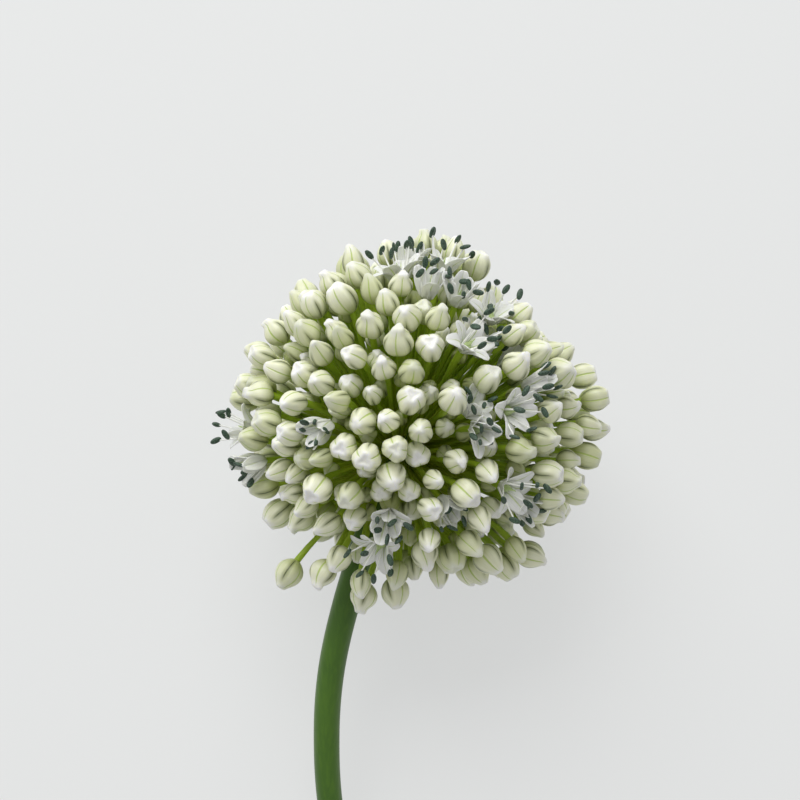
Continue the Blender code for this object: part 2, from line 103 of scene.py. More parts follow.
# A few buds on long pedicels stand out past the ball, two of them alone and three in front of the scape: each
# one's direction, the reach of its tip, and its tilt
LONG_FLORETS = (
    (Vector((-0.64, -0.10, -0.765)), 41.6 * MM, (0.25, 0.0, -0.10)),
    (Vector((0.585, -0.12, -0.80)), 38.2 * MM, (0.75, 0.0, 0.70)),
    (Vector((-0.50, -0.30, -0.81)), 38.6 * MM, (0.0, 0.0, 0.0)),
    (Vector((-0.36, -0.20, -0.91)), 39.4 * MM, (0.1, -0.1, 0.0)),
    (Vector((-0.24, -0.36, -0.90)), 38.4 * MM, (0.0, 0.1, 0.0)),
)
BUD_LENGTH = 6.6 * MM
BUD_WIDTH = 5.3 * MM
BELLY_AT = 0.36
SHOULDER_AT = 0.74
SHOULDER_WIDTH = 0.72
SMALLEST_BUD = 0.74
BUD_SIZES = (0.88, 1.06)
DEEPEST_BUD = 9.0 * MM
WANDER = 0.11
TILT = 0.55
DEPTH_SKEW = 1.6
LAYOUT_SEED = 7
PEDICEL_RADIUS = 0.42 * MM
SPREADING_STEPS = 90
DEPTH_COUNTS = 0.45
BUD_PUSH = 0.35
OWN_PEDICEL_PUSH = 0.5
OTHER_PEDICEL_PUSH = 0.35
PEDICEL_SHARE = 0.92
TINY = 1e-9
TILT_SHARES = (1.0, 0.6, 0.3, 0.0)
LEAST_GAP = 0.12 * MM
NEIGHBOUR_REACH = 14.0 * MM
PEDICEL_TESTS = 8
SCAPE_TESTS = 60
SCAPE_PEDICEL_TESTS = 12
OPEN_BALL_AT = 0.5
OPEN_BALL_RADIUS = 3.7 * MM
FOOT_TOP = 8.6 * MM
FOOT_SPREAD = 0.6
FOOT_REACH = 1.62 * MM * 0.75
FOOT_SINK = 0.5 * MM
OPEN_FLOWERS = (
    Vector((-0.20, -0.35, 0.92)),
    Vector((0.22, -0.30, 0.93)),
    Vector((0.36, -0.80, 0.48)),
    Vector((0.55, -0.45, 0.70)),
    Vector((0.62, -0.76, 0.16)),
    Vector((0.54, -0.74, -0.40)),
    Vector((-0.97, -0.15, -0.18)),
    Vector((-0.34, -0.62, -0.71)),
    Vector((0.45, 0.80, 0.40)),
    Vector((-0.50, 0.78, 0.38)),
)
OPEN_DEPTH = 1.2 * MM
OPEN_SIZE = 1.05
OPEN_WIDTH = 1.6
SCAPE_LINE = (
    Vector((-3.4, 0, -6.0)) * MM,
    Vector((-8.9, 0, -21.5)) * MM,
    Vector((-13.4, 0, -35.8)) * MM,
    Vector((-16.2, 0, -48.5)) * MM,
    Vector((-17.1, 0, -61.0)) * MM,
    Vector((-16.3, 0, -75.0)) * MM,
    Vector((-12.9, 0, -91.0)) * MM,
    Vector((-7.2, 0, -107.0)) * MM,
)
SCAPE_TOP_RADIUS = 2.8 * MM
SCAPE_CUT_RADIUS = 2.3 * MM
REST_HEIGHT = 31.0 * MM
LEAN = math.asin((REST_HEIGHT - SCAPE_CUT_RADIUS) / -SCAPE_LINE[-1].z)
print("the head leans back by", round(math.degrees(LEAN), 1), "degrees from lying flat")


# %% Even directions, and the shape of the ball
def golden_sphere(count):
    """Unit vectors spread evenly over a sphere, each a golden angle on from the last."""
    lean_right = Matrix.Rotation(UMBEL_TILT, 3, "Y")
    points = []
    for i in range(count):
        height = 1 - (2 * i + 1) / count
        away = math.sqrt(1 - height * height)
        turn = GOLDEN_ANGLE * i
        points.append(lean_right @ Vector((away * math.cos(turn), away * math.sin(turn), height)))
    return points


def head_radius(directions):
    """How far the outermost bud tips are from the head's middle, for an array of unit directions."""
    radius = np.full(len(directions), HEAD_RADIUS)
    for facing, height, spread in SWELLINGS:
        cosine = directions @ np.array(facing.normalized())
        radius += height * np.exp((cosine - 1) / spread**2)
    return radius


def smooth_line(points, count):
    """count points on a smooth curve through the given ones."""
    dense = []
    ends = [points[0] * 2 - points[1], *points, points[-1] * 2 - points[-2]]
    for i in range(count):
        place = i / (count - 1) * (len(points) - 1)
        k = min(int(place), len(points) - 2)
        t = place - k
        a, b, c, d = ends[k : k + 4]
        bend = (a * 2 - b * 5 + c * 4 - d) * t**2 + (b * 3 - a - c * 3 + d) * t**3
        dense.append(b + ((c - a) * t + bend) * 0.5)
    return dense


print("the ball of buds is", round(2 * HEAD_RADIUS / MM, 1), "mm across before its swellings")


# %% Push the buds apart
def apart_from_buds(centres, directions, widths):
    """How far each bud has to move sideways to have room beside the other buds."""
    apart = centres[:, None, :] - centres[None, :, :]
    outward = (apart * directions[:, None, :]).sum(axis=2)[..., None] * directions[:, None, :]
    sideways = apart - outward
    gap = np.sqrt((sideways**2).sum(axis=2) + DEPTH_COUNTS * (outward**2).sum(axis=2)) + TINY
    wanted = (widths[:, None] + widths[None, :]) / 2 + 2 * CLEARANCE
    push = np.clip(wanted - gap, 0, None) / gap
    np.fill_diagonal(push, 0)
    return (sideways * push[..., None]).sum(axis=1) * BUD_PUSH


def apart_from_pedicels(centres, widths):
    """How far each bud has to move to clear the others' pedicels, which run from the receptacle."""
    root = np.array(RECEPTACLE_CENTRE)
    stalk = centres - root
    along = ((centres[:, None, :] - root) * stalk[None]).sum(axis=2) / (stalk**2).sum(axis=1)[None]
    nearest = root + np.clip(along, 0, PEDICEL_SHARE)[..., None] * stalk[None]
    off = centres[:, None, :] - nearest
    gap = np.sqrt((off**2).sum(axis=2)) + TINY
    wanted = widths[:, None] / 2 + PEDICEL_RADIUS + CLEARANCE
    push = np.clip(wanted - gap, 0, None) / gap
    np.fill_diagonal(push, 0)
    pushed = off * push[..., None]
    return pushed.sum(axis=1) * OWN_PEDICEL_PUSH - pushed.sum(axis=0) * OTHER_PEDICEL_PUSH


def spread_out(directions, depths, widths):
    """Moves the buds sideways until each has room beside its neighbours and beside their pedicels."""
    for _ in range(SPREADING_STEPS):
        radius = head_radius(directions) - depths - BUD_LENGTH / 2
        centres = directions * radius[:, None]
        moved = apart_from_buds(centres, directions, widths) + apart_from_pedicels(centres, widths)
        centres = centres + moved
        directions = centres / np.sqrt((centres**2).sum(axis=1))[:, None]
    return directions


# %% Choose directions, depths and sizes
def scattered(scape_way):
    """Directions, depths, sizes and tilts of the florets before they are spread out."""
    rng = random.Random(LAYOUT_SEED)
    directions, depths, sizes, tilts = [], [], [], []
    for way in golden_sphere(FLORET_COUNT):
        wander = Vector([rng.uniform(-1, 1) for _ in range(3)]) * WANDER
        depth = rng.random() ** DEPTH_SKEW * DEEPEST_BUD
        shrink = 1 - (1 - SMALLEST_BUD) * depth / DEEPEST_BUD
        directions.append((way + wander).normalized())
        depths.append(depth)
        sizes.append(shrink * rng.uniform(*BUD_SIZES))
        tilts.append([rng.uniform(-TILT, TILT) for _ in range(3)])
    for way, reach, tilt in LONG_FLORETS:
        directions.append(way.normalized())
        depths.append(head_radius(np.array([way.normalized()]))[0] - reach)
        sizes.append(1.0)
        tilts.append(tilt)
    directions, depths, sizes, tilts = map(np.array, (directions, depths, sizes, tilts))
    keep = directions @ np.array(scape_way) < math.cos(SCAPE_CLEAR_OF_BUDS)
    return directions[keep], depths[keep], sizes[keep], tilts[keep]


def nearest_florets(directions):
    """Which florets face the directions of OPEN_FLOWERS, as an array of true and false."""
    is_open = np.zeros(len(directions), bool)
    for facing in OPEN_FLOWERS:
        nearness = directions @ np.array(facing.normalized())
        nearness[is_open] = -1
        is_open[int(np.argmax(nearness))] = True
    return is_open


# %% Keep the lowest buds off the surface, and all of them off the scape
def height_above_surface(point):
    """Height of a point of the standing flower once it lies down."""
    return REST_HEIGHT + point.z * math.sin(LEAN) - point.y * math.cos(LEAN)


def lifted(middle, axis, length, width):
    """A bud's middle drawn in along its pedicel until the bud clears the surface that the flower lies on."""
    up = Vector((0, -math.cos(LEAN), math.sin(LEAN)))
    cosine = axis.dot(up)
    half_height = math.sqrt((length / 2 * cosine) ** 2 + (width / 2) ** 2 * (1 - cosine * cosine))
    height, root_height = height_above_surface(middle), height_above_surface(RECEPTACLE_CENTRE)
    if height >= half_height:
        return middle
    share = (root_height - half_height) / (root_height - height)
    return RECEPTACLE_CENTRE + (middle - RECEPTACLE_CENTRE) * share


def clears_scape(foot, seat, middle, width):
    """Whether a pedicel and its bud pass beside the scape with room to spare."""
    line = smooth_line(SCAPE_LINE, SCAPE_TESTS)
    places = [foot.lerp(seat, k / SCAPE_PEDICEL_TESTS) for k in range(SCAPE_PEDICEL_TESTS + 1)]
    pedicel_gap = min((place - at).length for place in places for at in line) - PEDICEL_RADIUS
    bud_gap = min((middle - at).length for at in line) - width / 2
    return min(pedicel_gap, bud_gap) > SCAPE_TOP_RADIUS + 2 * CLEARANCE


def foot_of(middle, cyme_ways):
    """The cyme that a bud belongs to, and where its pedicel starts inside that cyme's foot."""
    stalk_way = (middle - RECEPTACLE_CENTRE).normalized()
    cyme = max(range(len(cyme_ways)), key=lambda k: cyme_ways[k].dot(stalk_way))
    foot_way = cyme_ways[cyme]
    aside = (stalk_way / stalk_way.dot(foot_way) - foot_way) * FOOT_TOP * FOOT_SPREAD
    if aside.length > FOOT_REACH:
        aside *= FOOT_REACH / aside.length
    return cyme, RECEPTACLE_CENTRE + foot_way * (FOOT_TOP - FOOT_SINK) + aside


# %% Keep the florets clear of each other
def balls_of(floret):
    """Two balls that fill a bud or an open flower: the middle and radius of each."""
    if floret.is_open:
        return [(floret.seat + floret.axis * floret.length * OPEN_BALL_AT, OPEN_BALL_RADIUS)]
    low = floret.seat + floret.axis * floret.length * BELLY_AT
    high = floret.seat + floret.axis * floret.length * SHOULDER_AT
    return [(low, floret.width / 2), (high, floret.width / 2 * SHOULDER_WIDTH)]


def off_pedicel(point, floret):
    """How far a point is from the middle line of a pedicel."""
    stalk = floret.seat - floret.foot
    share = min(max((point - floret.foot).dot(stalk) / stalk.length_squared, 0), 1)
    return (point - floret.foot - stalk * share).length


def has_room(floret, others):
    """Whether a floret keeps clear of the ones placed before it, apart from the pedicels of its own cyme."""
    pedicel = [floret.foot.lerp(floret.seat, k / PEDICEL_TESTS) for k in range(PEDICEL_TESTS + 1)]
    for other in others:
        if (floret.seat - other.seat).length > NEIGHBOUR_REACH:
            continue
        for middle, radius in balls_of(floret):
            if off_pedicel(middle, other) < radius + PEDICEL_RADIUS + LEAST_GAP:
                return False
            if any((middle - at).length < radius + size + LEAST_GAP for at, size in balls_of(other)):
                return False
        for middle, radius in balls_of(other):
            if off_pedicel(middle, floret) < radius + PEDICEL_RADIUS + LEAST_GAP:
                return False
        if floret.cyme != other.cyme:
            if min(off_pedicel(place, other) for place in pedicel) < 2 * PEDICEL_RADIUS + LEAST_GAP:
                return False
    return True


# %% Every floret of the model
class Floret:
    """One floret: its pedicel runs from foot to seat, and its bud or flower faces along axis."""

    def __init__(self, foot, seat, axis, length, width, cyme, is_open):
        self.foot, self.seat, self.axis = foot, seat, axis
        self.length, self.width = length, width
        self.cyme, self.is_open = cyme, is_open

    def middle(self):
        return self.seat + self.axis * self.length / 2


def floret_at(way, reach, size, tilt, is_open, cyme_ways):
    """The floret whose tip is at reach along way, or None if it would touch the scape."""
    length, width = size * BUD_LENGTH, size * BUD_WIDTH
    middle = way * (reach - length / 2)
    axis = (way + (middle - RECEPTACLE_CENTRE).normalized() + tilt).normalized()
    middle = lifted(middle, axis, length, width)
    cyme, foot = foot_of(middle, cyme_ways)
    seat = middle - axis * length / 2
    if not clears_scape(foot, seat, middle, width):
        return None
    return Floret(foot, seat, axis, length, width, cyme, is_open)


scape_way = (SCAPE_LINE[2] - SCAPE_LINE[0]).normalized()
cyme_ways = [way for way in golden_sphere(CYME_COUNT) if way.dot(scape_way) < math.cos(SCAPE_CLEAR_OF_FEET)]
directions, depths, sizes, tilts = scattered(scape_way)
is_open = nearest_florets(directions)
depths[is_open] = OPEN_DEPTH
sizes[is_open] = OPEN_SIZE
widths = np.where(is_open, OPEN_WIDTH, 1.0) * sizes * BUD_WIDTH
directions = spread_out(directions, depths, widths)
reaches = head_radius(directions) - depths
florets = []
first_come = sorted(range(len(directions)), key=lambda k: depths[k] > 0 and not is_open[k])
for k in first_come:
    for share in TILT_SHARES:
        tilt = Vector(tilts[k]) * share
        floret = floret_at(Vector(directions[k]), reaches[k], sizes[k], tilt, bool(is_open[k]), cyme_ways)
        if floret and has_room(floret, florets):
            florets.append(floret)
            break
print(len(florets), "florets in", len(cyme_ways), "cymes,", sum(f.is_open for f in florets), "of them open")

# %% [markdown]
# ## The young florets inside
#
# An allium head opens from the outside in. Between the pedicels there are many younger buds on shorter
# pedicels, smaller and greener than the rest. They close the gaps that would otherwise show the middle of the
# head. They are too many for the measured model, so they are added here, and one that would run into an older
# bud is left out.

# %% Place the young florets
YOUNG_CANDIDATES = 330
YOUNG_DEPTH = (6.5 * MM, 13.0 * MM)
YOUNG_SIZE = (0.5, 0.72)
YOUNG_CLEAR_OF_SCAPE = SCAPE_CLEAR_OF_BUDS * 2
YOUNG_SEED = 23


def young_florets(older):
    """Small buds, deeper in the head, each of which keeps clear of the older ones and of those before it."""
    rng = random.Random(YOUNG_SEED)
    found = []
    places = [(f.middle(), f.width) for f in older]
    for way in golden_sphere(YOUNG_CANDIDATES):
        way = (way + Vector([rng.uniform(-1, 1) for _ in range(3)]) * WANDER).normalized()
        depth, size = rng.uniform(*YOUNG_DEPTH), rng.uniform(*YOUNG_SIZE)
        if way.dot(scape_way) > math.cos(YOUNG_CLEAR_OF_SCAPE):
            continue
        reach = head_radius(np.array([way]))[0] - depth
        tilt = Vector([rng.uniform(-TILT, TILT) for _ in range(3)])
        floret = floret_at(way, reach, size, tilt, False, cyme_ways)
        if floret is None:
            continue
        middle = floret.middle()
        if all((middle - at).length > (floret.width + width) / 2 for at, width in places):
            found.append(floret)
            places.append((middle, floret.width))
    return found


young = young_florets(florets)
print(len(young), "young florets")

# %% [markdown]
# ## Lay the flower down
#
# Everything is modelled standing and laid down at the end with one matrix: a turn about X, and a shift to the
# middle of the head. The shift is measured from the model itself. The cut end of its scape is a ring of
# points, the only ones in the last few millimetres, and their average is the end of the scape's middle line.

# %% Measure where the head lies
CUT_RING_REACH = 3.0 * MM
lie_down = Matrix.Rotation(LEAN - math.pi / 2, 4, "X")
cut_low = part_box("scape")[0].y
cut_ring = [v.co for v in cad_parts["scape"].data.vertices if v.co.y < cut_low + CUT_RING_REACH]
cut_middle = sum(cut_ring, Vector()) / len(cut_ring)
head_middle = cut_middle - lie_down @ SCAPE_LINE[-1]
laid = Matrix.Translation(head_middle) @ lie_down
print("middle of the head in mm", [round(c / MM, 2) for c in head_middle])

# %% [markdown]
# ## Camera, light and floor
#
# The flower is seen from in front of its standing self, so the camera looks almost straight down on the head
# as it lies. A long lens from some way off keeps the ball round. One broad lamp stands beyond the top of the
# head, and the white world fills the shadows: together they light a white surface to about its own colour.

# %% The camera
VIEW_DISTANCE = 380 * MM
VIEW_WIDTH = 154.8 * MM
VIEW_ASIDE = Vector((-2.9, 0, 3.9)) * MM
SENSOR_WIDTH = 36.0
CLIP_START = 10 * MM


def deselect_all():
    """Leaves object mode with nothing selected, so that an operator touches only what comes next."""
    if bpy.context.object and bpy.context.object.mode != "OBJECT":
        bpy.ops.object.mode_set(mode="OBJECT")
    bpy.ops.object.select_all(action="DESELECT")


deselect_all()
eye = laid @ (VIEW_ASIDE + Vector((0, -VIEW_DISTANCE, 0)))
bpy.ops.object.camera_add(location=eye, rotation=(LEAN, 0, 0))
camera = bpy.context.object
camera.data.sensor_width = SENSOR_WIDTH
camera.data.lens = SENSOR_WIDTH * VIEW_DISTANCE / VIEW_WIDTH
camera.data.clip_start = CLIP_START
bpy.context.scene.camera = camera
print("lens", round(camera.data.lens, 1), "mm from", [round(c, 3) for c in eye])

# %% The lamps and the world
KEY_WAY = Vector((-0.22, 0.66, 0.72))
KEY_DISTANCE = 0.9
KEY_SIZE = 0.8
KEY_POWER = 7.0
FILL_STRENGTH = 0.44


def aim(lamp, target):
    """Turns a lamp's -Z, the way it shines, towards a point."""
    lamp.rotation_euler = (target - lamp.location).to_track_quat("-Z", "Y").to_euler()


bpy.ops.object.light_add(type="AREA", location=head_middle + KEY_WAY.normalized() * KEY_DISTANCE)
key_lamp = bpy.context.object
key_lamp.data.size = KEY_SIZE
key_lamp.data.energy = KEY_POWER
aim(key_lamp, head_middle)
world = bpy.data.worlds.new("white_room")
world.use_nodes = True
world.node_tree.nodes["Background"].inputs["Color"].default_value = (1, 1, 1, 1)
world.node_tree.nodes["Background"].inputs["Strength"].default_value = FILL_STRENGTH
bpy.context.scene.world = world
bpy.context.scene.view_settings.view_transform = "Standard"
print("key lamp", KEY_POWER, "W, fill", FILL_STRENGTH)

# %% [markdown]
# ## A short way to write materials
#
# Node trees are long to build by hand. Here a material is a Recipe: its one method adds any node, and the
# small class Value stands for a node's output, so that ordinary arithmetic on it adds Math nodes. An
# expression such as 1 - vein * 0.4 then reads like the pattern it makes.


# %% Values and recipes
class Value:
    """One output in a material's nodes. Arithmetic on it adds Math nodes."""

    def __init__(self, recipe, socket):
        self.recipe, self.socket = recipe, socket

    def maths(self, operation, first, second):
        return self.recipe.node("ShaderNodeMath", {"operation": operation}, {0: first, 1: second})

    def __add__(self, other):
        return self.maths("ADD", self, other)

    __radd__ = __add__

    def __sub__(self, other):
        return self.maths("SUBTRACT", self, other)

    def __rsub__(self, other):
        return self.maths("SUBTRACT", other, self)

    def __mul__(self, other):
        return self.maths("MULTIPLY", self, other)

    __rmul__ = __mul__


class Recipe:
    """A material, its Principled shader, and a way to add nodes to it."""

    def __init__(self, name):
        self.material = bpy.data.materials.new(name)
        self.material.use_nodes = True
        self.tree = self.material.node_tree
        self.shader = self.tree.nodes["Principled BSDF"]

    def feed(self, socket, value):
        """Links a Value to a socket, or sets the socket to a plain number or colour."""
        if isinstance(value, Value):
            self.tree.links.new(value.socket, socket)
        else:
            socket.default_value = value

    def node(self, kind, settings, sockets, output=0):
        """Adds any node: its settings first, and then its sockets."""
        made = self.tree.nodes.new(kind)
        for key, value in settings.items():
            setattr(made, key, value)
        for key, value in sockets.items():
            self.feed(made.inputs[key], value)
        return Value(self, made.outputs[output])

    def surface(self, **sockets):
        """Feeds the shader's own sockets, with underscores for the spaces in their names."""
        for key, value in sockets.items():
            self.feed(self.shader.inputs[key.replace("_", " ")], value)
        return self.material


print("a recipe starts with", [node.name for node in Recipe("first_try").tree.nodes])


# %% Patterns that several finishes share
def mix(recipe, share, first, second):
    """A colour between two, by share."""
    return recipe.node("ShaderNodeMix", {"data_type": "RGBA"}, {0: share, 6: first, 7: second}, 2)


def smooth_step(recipe, value, low, high):
    """0 below low, 1 above high, and an even slope between them."""
    settings = {"interpolation_type": "SMOOTHSTEP"}
    return recipe.node("ShaderNodeMapRange", settings, {0: value, 1: low, 2: high, 3: 0.0, 4: 1.0})


def around_and_along(recipe):
    """A piece's own UV map, as two Values: u around it, or across it, and v along it."""
    texture = recipe.node("ShaderNodeUVMap", {"uv_map": "UVMap"}, {})
    split = recipe.node("ShaderNodeSeparateXYZ", {}, {0: texture})
    return split, Value(recipe, split.socket.node.outputs[1])


def size_of(recipe, value):
    """A value without its sign."""
    return recipe.node("ShaderNodeMath", {"operation": "ABSOLUTE"}, {0: value})


def from_middle(recipe, value, count):
    """How far a place is from the nearest of count even lines over value 0 to 1: 0 on one, 1 halfway."""
    share = recipe.node("ShaderNodeMath", {"operation": "FRACT"}, {0: value * count})
    return 1 - size_of(recipe, share - 0.5) * 2


def grain(recipe, scale, detail=2.0, stretch=(1, 1, 1)):
    """Soft noise that stays put on the piece, about 0.5 in the middle. scale is cells to the metre."""
    place = recipe.node("ShaderNodeTexCoord", {}, {}, 3)
    sized = recipe.node("ShaderNodeMapping", {}, {"Vector": place, "Scale": stretch})
    return recipe.node("ShaderNodeTexNoise", {}, {"Vector": sized, "Scale": scale, "Detail": detail})


def relief(recipe, height, distance, strength=1.0):
    """A bump from a height of 0 to 1, distance metres high."""
    return recipe.node("ShaderNodeBump", {}, {"Height": height, "Distance": distance, "Strength": strength})


# %% [markdown]
# ## The finish of a bud
#
# A closed bud is wrapped in six tepals. Three outer ones are broad, puffed and creamy white, each with a thin
# yellow-green vein down its middle, and whiter towards the tip: partly their own paler tips and partly a
# painted highlight. Between them the edges of the three inner ones lie in furrows. The furrows are olive
# partly for the inner tepals' own colour and partly as painted shade in the groove, with a painted shade line
# at the bottom of each. The base is greener, partly its own green and partly painted shade deep in the head,
# and so is the whole of a young bud. The pattern needs to follow the bud's own shape, so it reads the UV map
# that Blender gives a
# sphere: u runs round it and v from its base to its tip. How ripe each bud is comes from a number stored on
# its points.

# %% Bud finish
CREAM = (0.88, 0.89, 0.68, 1)
IVORY = (0.96, 0.96, 0.92, 1)
BUD_GREEN = (0.40, 0.46, 0.10, 1)
VEIN_GREEN = (0.47, 0.60, 0.13, 1)
# The furrow colour is partly the inner tepals' own olive and partly painted shade in the groove; the seam
# colour is painted shade at the bottom of each furrow
FURROW_OLIVE_AND_SHADE = (0.26, 0.29, 0.11, 1)
SEAM_PAINTED_SHADE = (0.085, 0.11, 0.045, 1)


def bud_finish():
    recipe = Recipe("bud_skin")
    around, along = around_and_along(recipe)
    ripe = recipe.node("ShaderNodeAttribute", {"attribute_name": "ripeness"}, {}, 2)
    mottle = grain(recipe, 600.0)
    streaks = recipe.node("ShaderNodeTexNoise", {"noise_dimensions": "2D"}, {
        "Vector": recipe.node("ShaderNodeMapping", {}, {
            "Vector": recipe.node("ShaderNodeUVMap", {"uv_map": "UVMap"}, {}), "Scale": (60.0, 2.5, 1.0)}),
        "Scale": 1.0, "Detail": 2.0})
    # The greener base is partly the bud's own green and partly painted shade deep in the head
    base = smooth_step(recipe, 1 - along, 0.45, 0.98)
    # The whiter tip is partly the bud's own paler tip and partly a painted highlight where light catches it
    hood = smooth_step(recipe, along + (mottle - 0.5) * 0.3, 0.62, 0.88)
    skin = mix(recipe, hood, CREAM, IVORY)
    skin = mix(recipe, base * (1.2 - ripe * 0.45), skin, BUD_GREEN)
    skin = mix(recipe, (1 - ripe) * 0.95, skin, BUD_GREEN)
    skin = mix(recipe, smooth_step(recipe, streaks, 0.45, 0.75) * 0.10, skin, BUD_GREEN)
    off_vein = 1 - from_middle(recipe, around + (streaks - 0.5) * 0.012, 3)
    above_seat = smooth_step(recipe, along, 0.05, 0.22)
    vein = 1 - smooth_step(recipe, off_vein, 0.015, 0.10)
    vein = vein * (1 - smooth_step(recipe, along, 0.72, 0.86))
    furrow = smooth_step(recipe, off_vein, 0.68, 0.98)
    furrow = furrow * (1 - smooth_step(recipe, along, 0.50, 0.76)) * above_seat
    seam = smooth_step(recipe, off_vein, 0.93, 0.99)
    seam = seam * (1 - smooth_step(recipe, along, 0.48, 0.68)) * above_seat
    # Painted shade: the furrows are darkened olive, partly their own colour and partly shade in the groove,
    # and the seam is a painted shade line at their bottom
    skin = mix(recipe, furrow * 0.70, skin, FURROW_OLIVE_AND_SHADE)
    skin = mix(recipe, seam * 0.75, skin, SEAM_PAINTED_SHADE)
    skin = mix(recipe, vein * 0.85, skin, VEIN_GREEN)
    height = streaks * 0.22 - vein * 0.3 - furrow * 0.5 - seam * 0.5
    return recipe.surface(
        Base_Color=skin, Roughness=0.34, Normal=relief(recipe, height, 0.18 * MM),
        Subsurface_Weight=0.20, Subsurface_Radius=(1.0, 0.95, 0.45), Subsurface_Scale=0.9 * MM)


bud_skin = bud_finish()
print("bud finish has", len(bud_skin.node_tree.nodes), "nodes")

# %% [markdown]
# ## The finish of the green parts
#
# Pedicels are a fresh yellow-green near the buds. Deep in the head they are painted paler and yellower, a
# painted light that stands in for the light shining through the ball of florets. The colour therefore follows
# the distance from the middle of the head. The scape is a darker leaf green with fine stripes along it, and a
# faint waxy bloom that shows where it turns away.

# %% Pedicel and scape finish
# The pale inner colour is painted light deep in the head, and also the pale patches of the mottle
PEDICEL_OUTER = (0.34, 0.50, 0.025, 1)
PEDICEL_PALE_AND_PAINTED_LIGHT = (0.46, 0.56, 0.035, 1)
SCAPE_GREEN = (0.046, 0.125, 0.003, 1)
SCAPE_STRIPE = (0.074, 0.175, 0.005, 1)
CUT_FLESH = (0.42, 0.52, 0.22, 1)


def pedicel_finish():
    recipe = Recipe("pedicel_skin")
    place = recipe.node("ShaderNodeTexCoord", {}, {}, 3)
    centre = head_middle + lie_down @ RECEPTACLE_CENTRE
    away = recipe.node("ShaderNodeVectorMath", {"operation": "DISTANCE"}, {0: place, 1: centre}, 1)
    # Painted light: the paler, yellower colour deep in the head stands in for light shining through it
    outer = smooth_step(recipe, away, 8 * MM, 26 * MM)
    skin = mix(recipe, outer, PEDICEL_PALE_AND_PAINTED_LIGHT, PEDICEL_OUTER)
    mottle = grain(recipe, 1400.0)
    skin = mix(recipe, smooth_step(recipe, mottle, 0.35, 0.8) * 0.35, skin, PEDICEL_PALE_AND_PAINTED_LIGHT)
    return recipe.surface(
        Base_Color=skin, Roughness=0.45, Normal=relief(recipe, mottle, 0.04 * MM),
        Subsurface_Weight=0.15, Subsurface_Radius=(0.6, 1.0, 0.3), Subsurface_Scale=0.4 * MM)


def scape_finish():
    recipe = Recipe("scape_skin")
    stripes = grain(recipe, 1500.0, 3.0, (1.0, 0.05, 1.0))
    patches = grain(recipe, 90.0)
    skin = mix(recipe, smooth_step(recipe, stripes, 0.4, 0.7) * 0.5, SCAPE_GREEN, SCAPE_STRIPE)
    skin = mix(recipe, smooth_step(recipe, patches, 0.3, 0.8) * 0.4, skin, SCAPE_STRIPE)
    return recipe.surface(
        Base_Color=skin, Roughness=0.48, Normal=relief(recipe, stripes, 0.05 * MM),
        Sheen_Weight=0.12, Sheen_Roughness=0.5)


def flesh_finish():
    recipe = Recipe("cut_flesh")
    cells = recipe.node("ShaderNodeTexVoronoi", {}, {
        "Vector": recipe.node("ShaderNodeTexCoord", {}, {}, 3), "Scale": 3200.0})
    skin = mix(recipe, smooth_step(recipe, cells, 0.2, 0.7) * 0.5, CUT_FLESH, SCAPE_STRIPE)
    return recipe.surface(Base_Color=skin, Roughness=0.35, Normal=relief(recipe, cells, 0.05 * MM))


pedicel_skin, scape_skin, cut_flesh = pedicel_finish(), scape_finish(), flesh_finish()
print("green finishes:", pedicel_skin.name, scape_skin.name, cut_flesh.name)

# %% [markdown]
# ## The finish of an open flower
#
# Open tepals are thin, white and almost see-through, with a yellow-green vein that is strongest at the base.
# The ovary in the middle is pale green. The filaments are white, and the anthers at their ends are a dark
# grey-green before they burst.

# %% Open flower finishes
TEPAL_WHITE = (0.94, 0.95, 0.91, 1)
OVARY_GREEN = (0.42, 0.55, 0.20, 1)
OVARY_PALE = (0.55, 0.66, 0.33, 1)
ANTHER_DARK = (0.020, 0.042, 0.026, 1)
ANTHER_LIGHT = (0.070, 0.125, 0.080, 1)


def tepal_finish():
    recipe = Recipe("tepal_skin")
    across, along = around_and_along(recipe)
    vein = 1 - smooth_step(recipe, size_of(recipe, across - 0.5), 0.0, 0.075)
    side_veins = from_middle(recipe, across, 9)
    fade = 1 - smooth_step(recipe, along, 0.55, 0.98) * 0.75
    skin = mix(recipe, vein * fade * 0.7, TEPAL_WHITE, VEIN_GREEN)
    skin = mix(recipe, smooth_step(recipe, side_veins, 0.7, 1.0) * 0.10, skin, VEIN_GREEN)
    skin = mix(recipe, smooth_step(recipe, 1 - along, 0.75, 1.0) * 0.5, skin, BUD_GREEN)
    return recipe.surface(
        Base_Color=skin, Roughness=0.38, Normal=relief(recipe, vein * -0.6 - side_veins * 0.3, 0.06 * MM),
        Subsurface_Weight=0.35, Subsurface_Radius=(1.0, 1.0, 0.8), Subsurface_Scale=0.8 * MM)


def plain_flower_finish(name, dark, light, roughness, cells):
    """A finish that wanders softly between two colours, for the small parts inside a flower."""
    recipe = Recipe(name)
    mottle = grain(recipe, cells)
    skin = mix(recipe, smooth_step(recipe, mottle, 0.3, 0.7), dark, light)
    return recipe.surface(Base_Color=skin, Roughness=roughness, Normal=relief(recipe, mottle, 0.05 * MM))


tepal_skin = tepal_finish()
ovary_skin = plain_flower_finish("ovary_skin", OVARY_GREEN, OVARY_PALE, 0.35, 1500.0)
filament_skin = plain_flower_finish("filament_skin", TEPAL_WHITE, IVORY, 0.4, 1500.0)
anther_skin = plain_flower_finish("anther_skin", ANTHER_DARK, ANTHER_LIGHT, 0.5, 3500.0)
print("flower finishes:", tepal_skin.name, ovary_skin.name, filament_skin.name, anther_skin.name)

# %% [markdown]
# ## The floor
#
# A plain pale surface, large enough to run past the view from every side. A head this round throws a deep
# shadow, so the floor also glows a little where the camera, a reflection or a clear piece looks at it. Light
# Path tells those rays apart, and the glow adds no light to the flower.

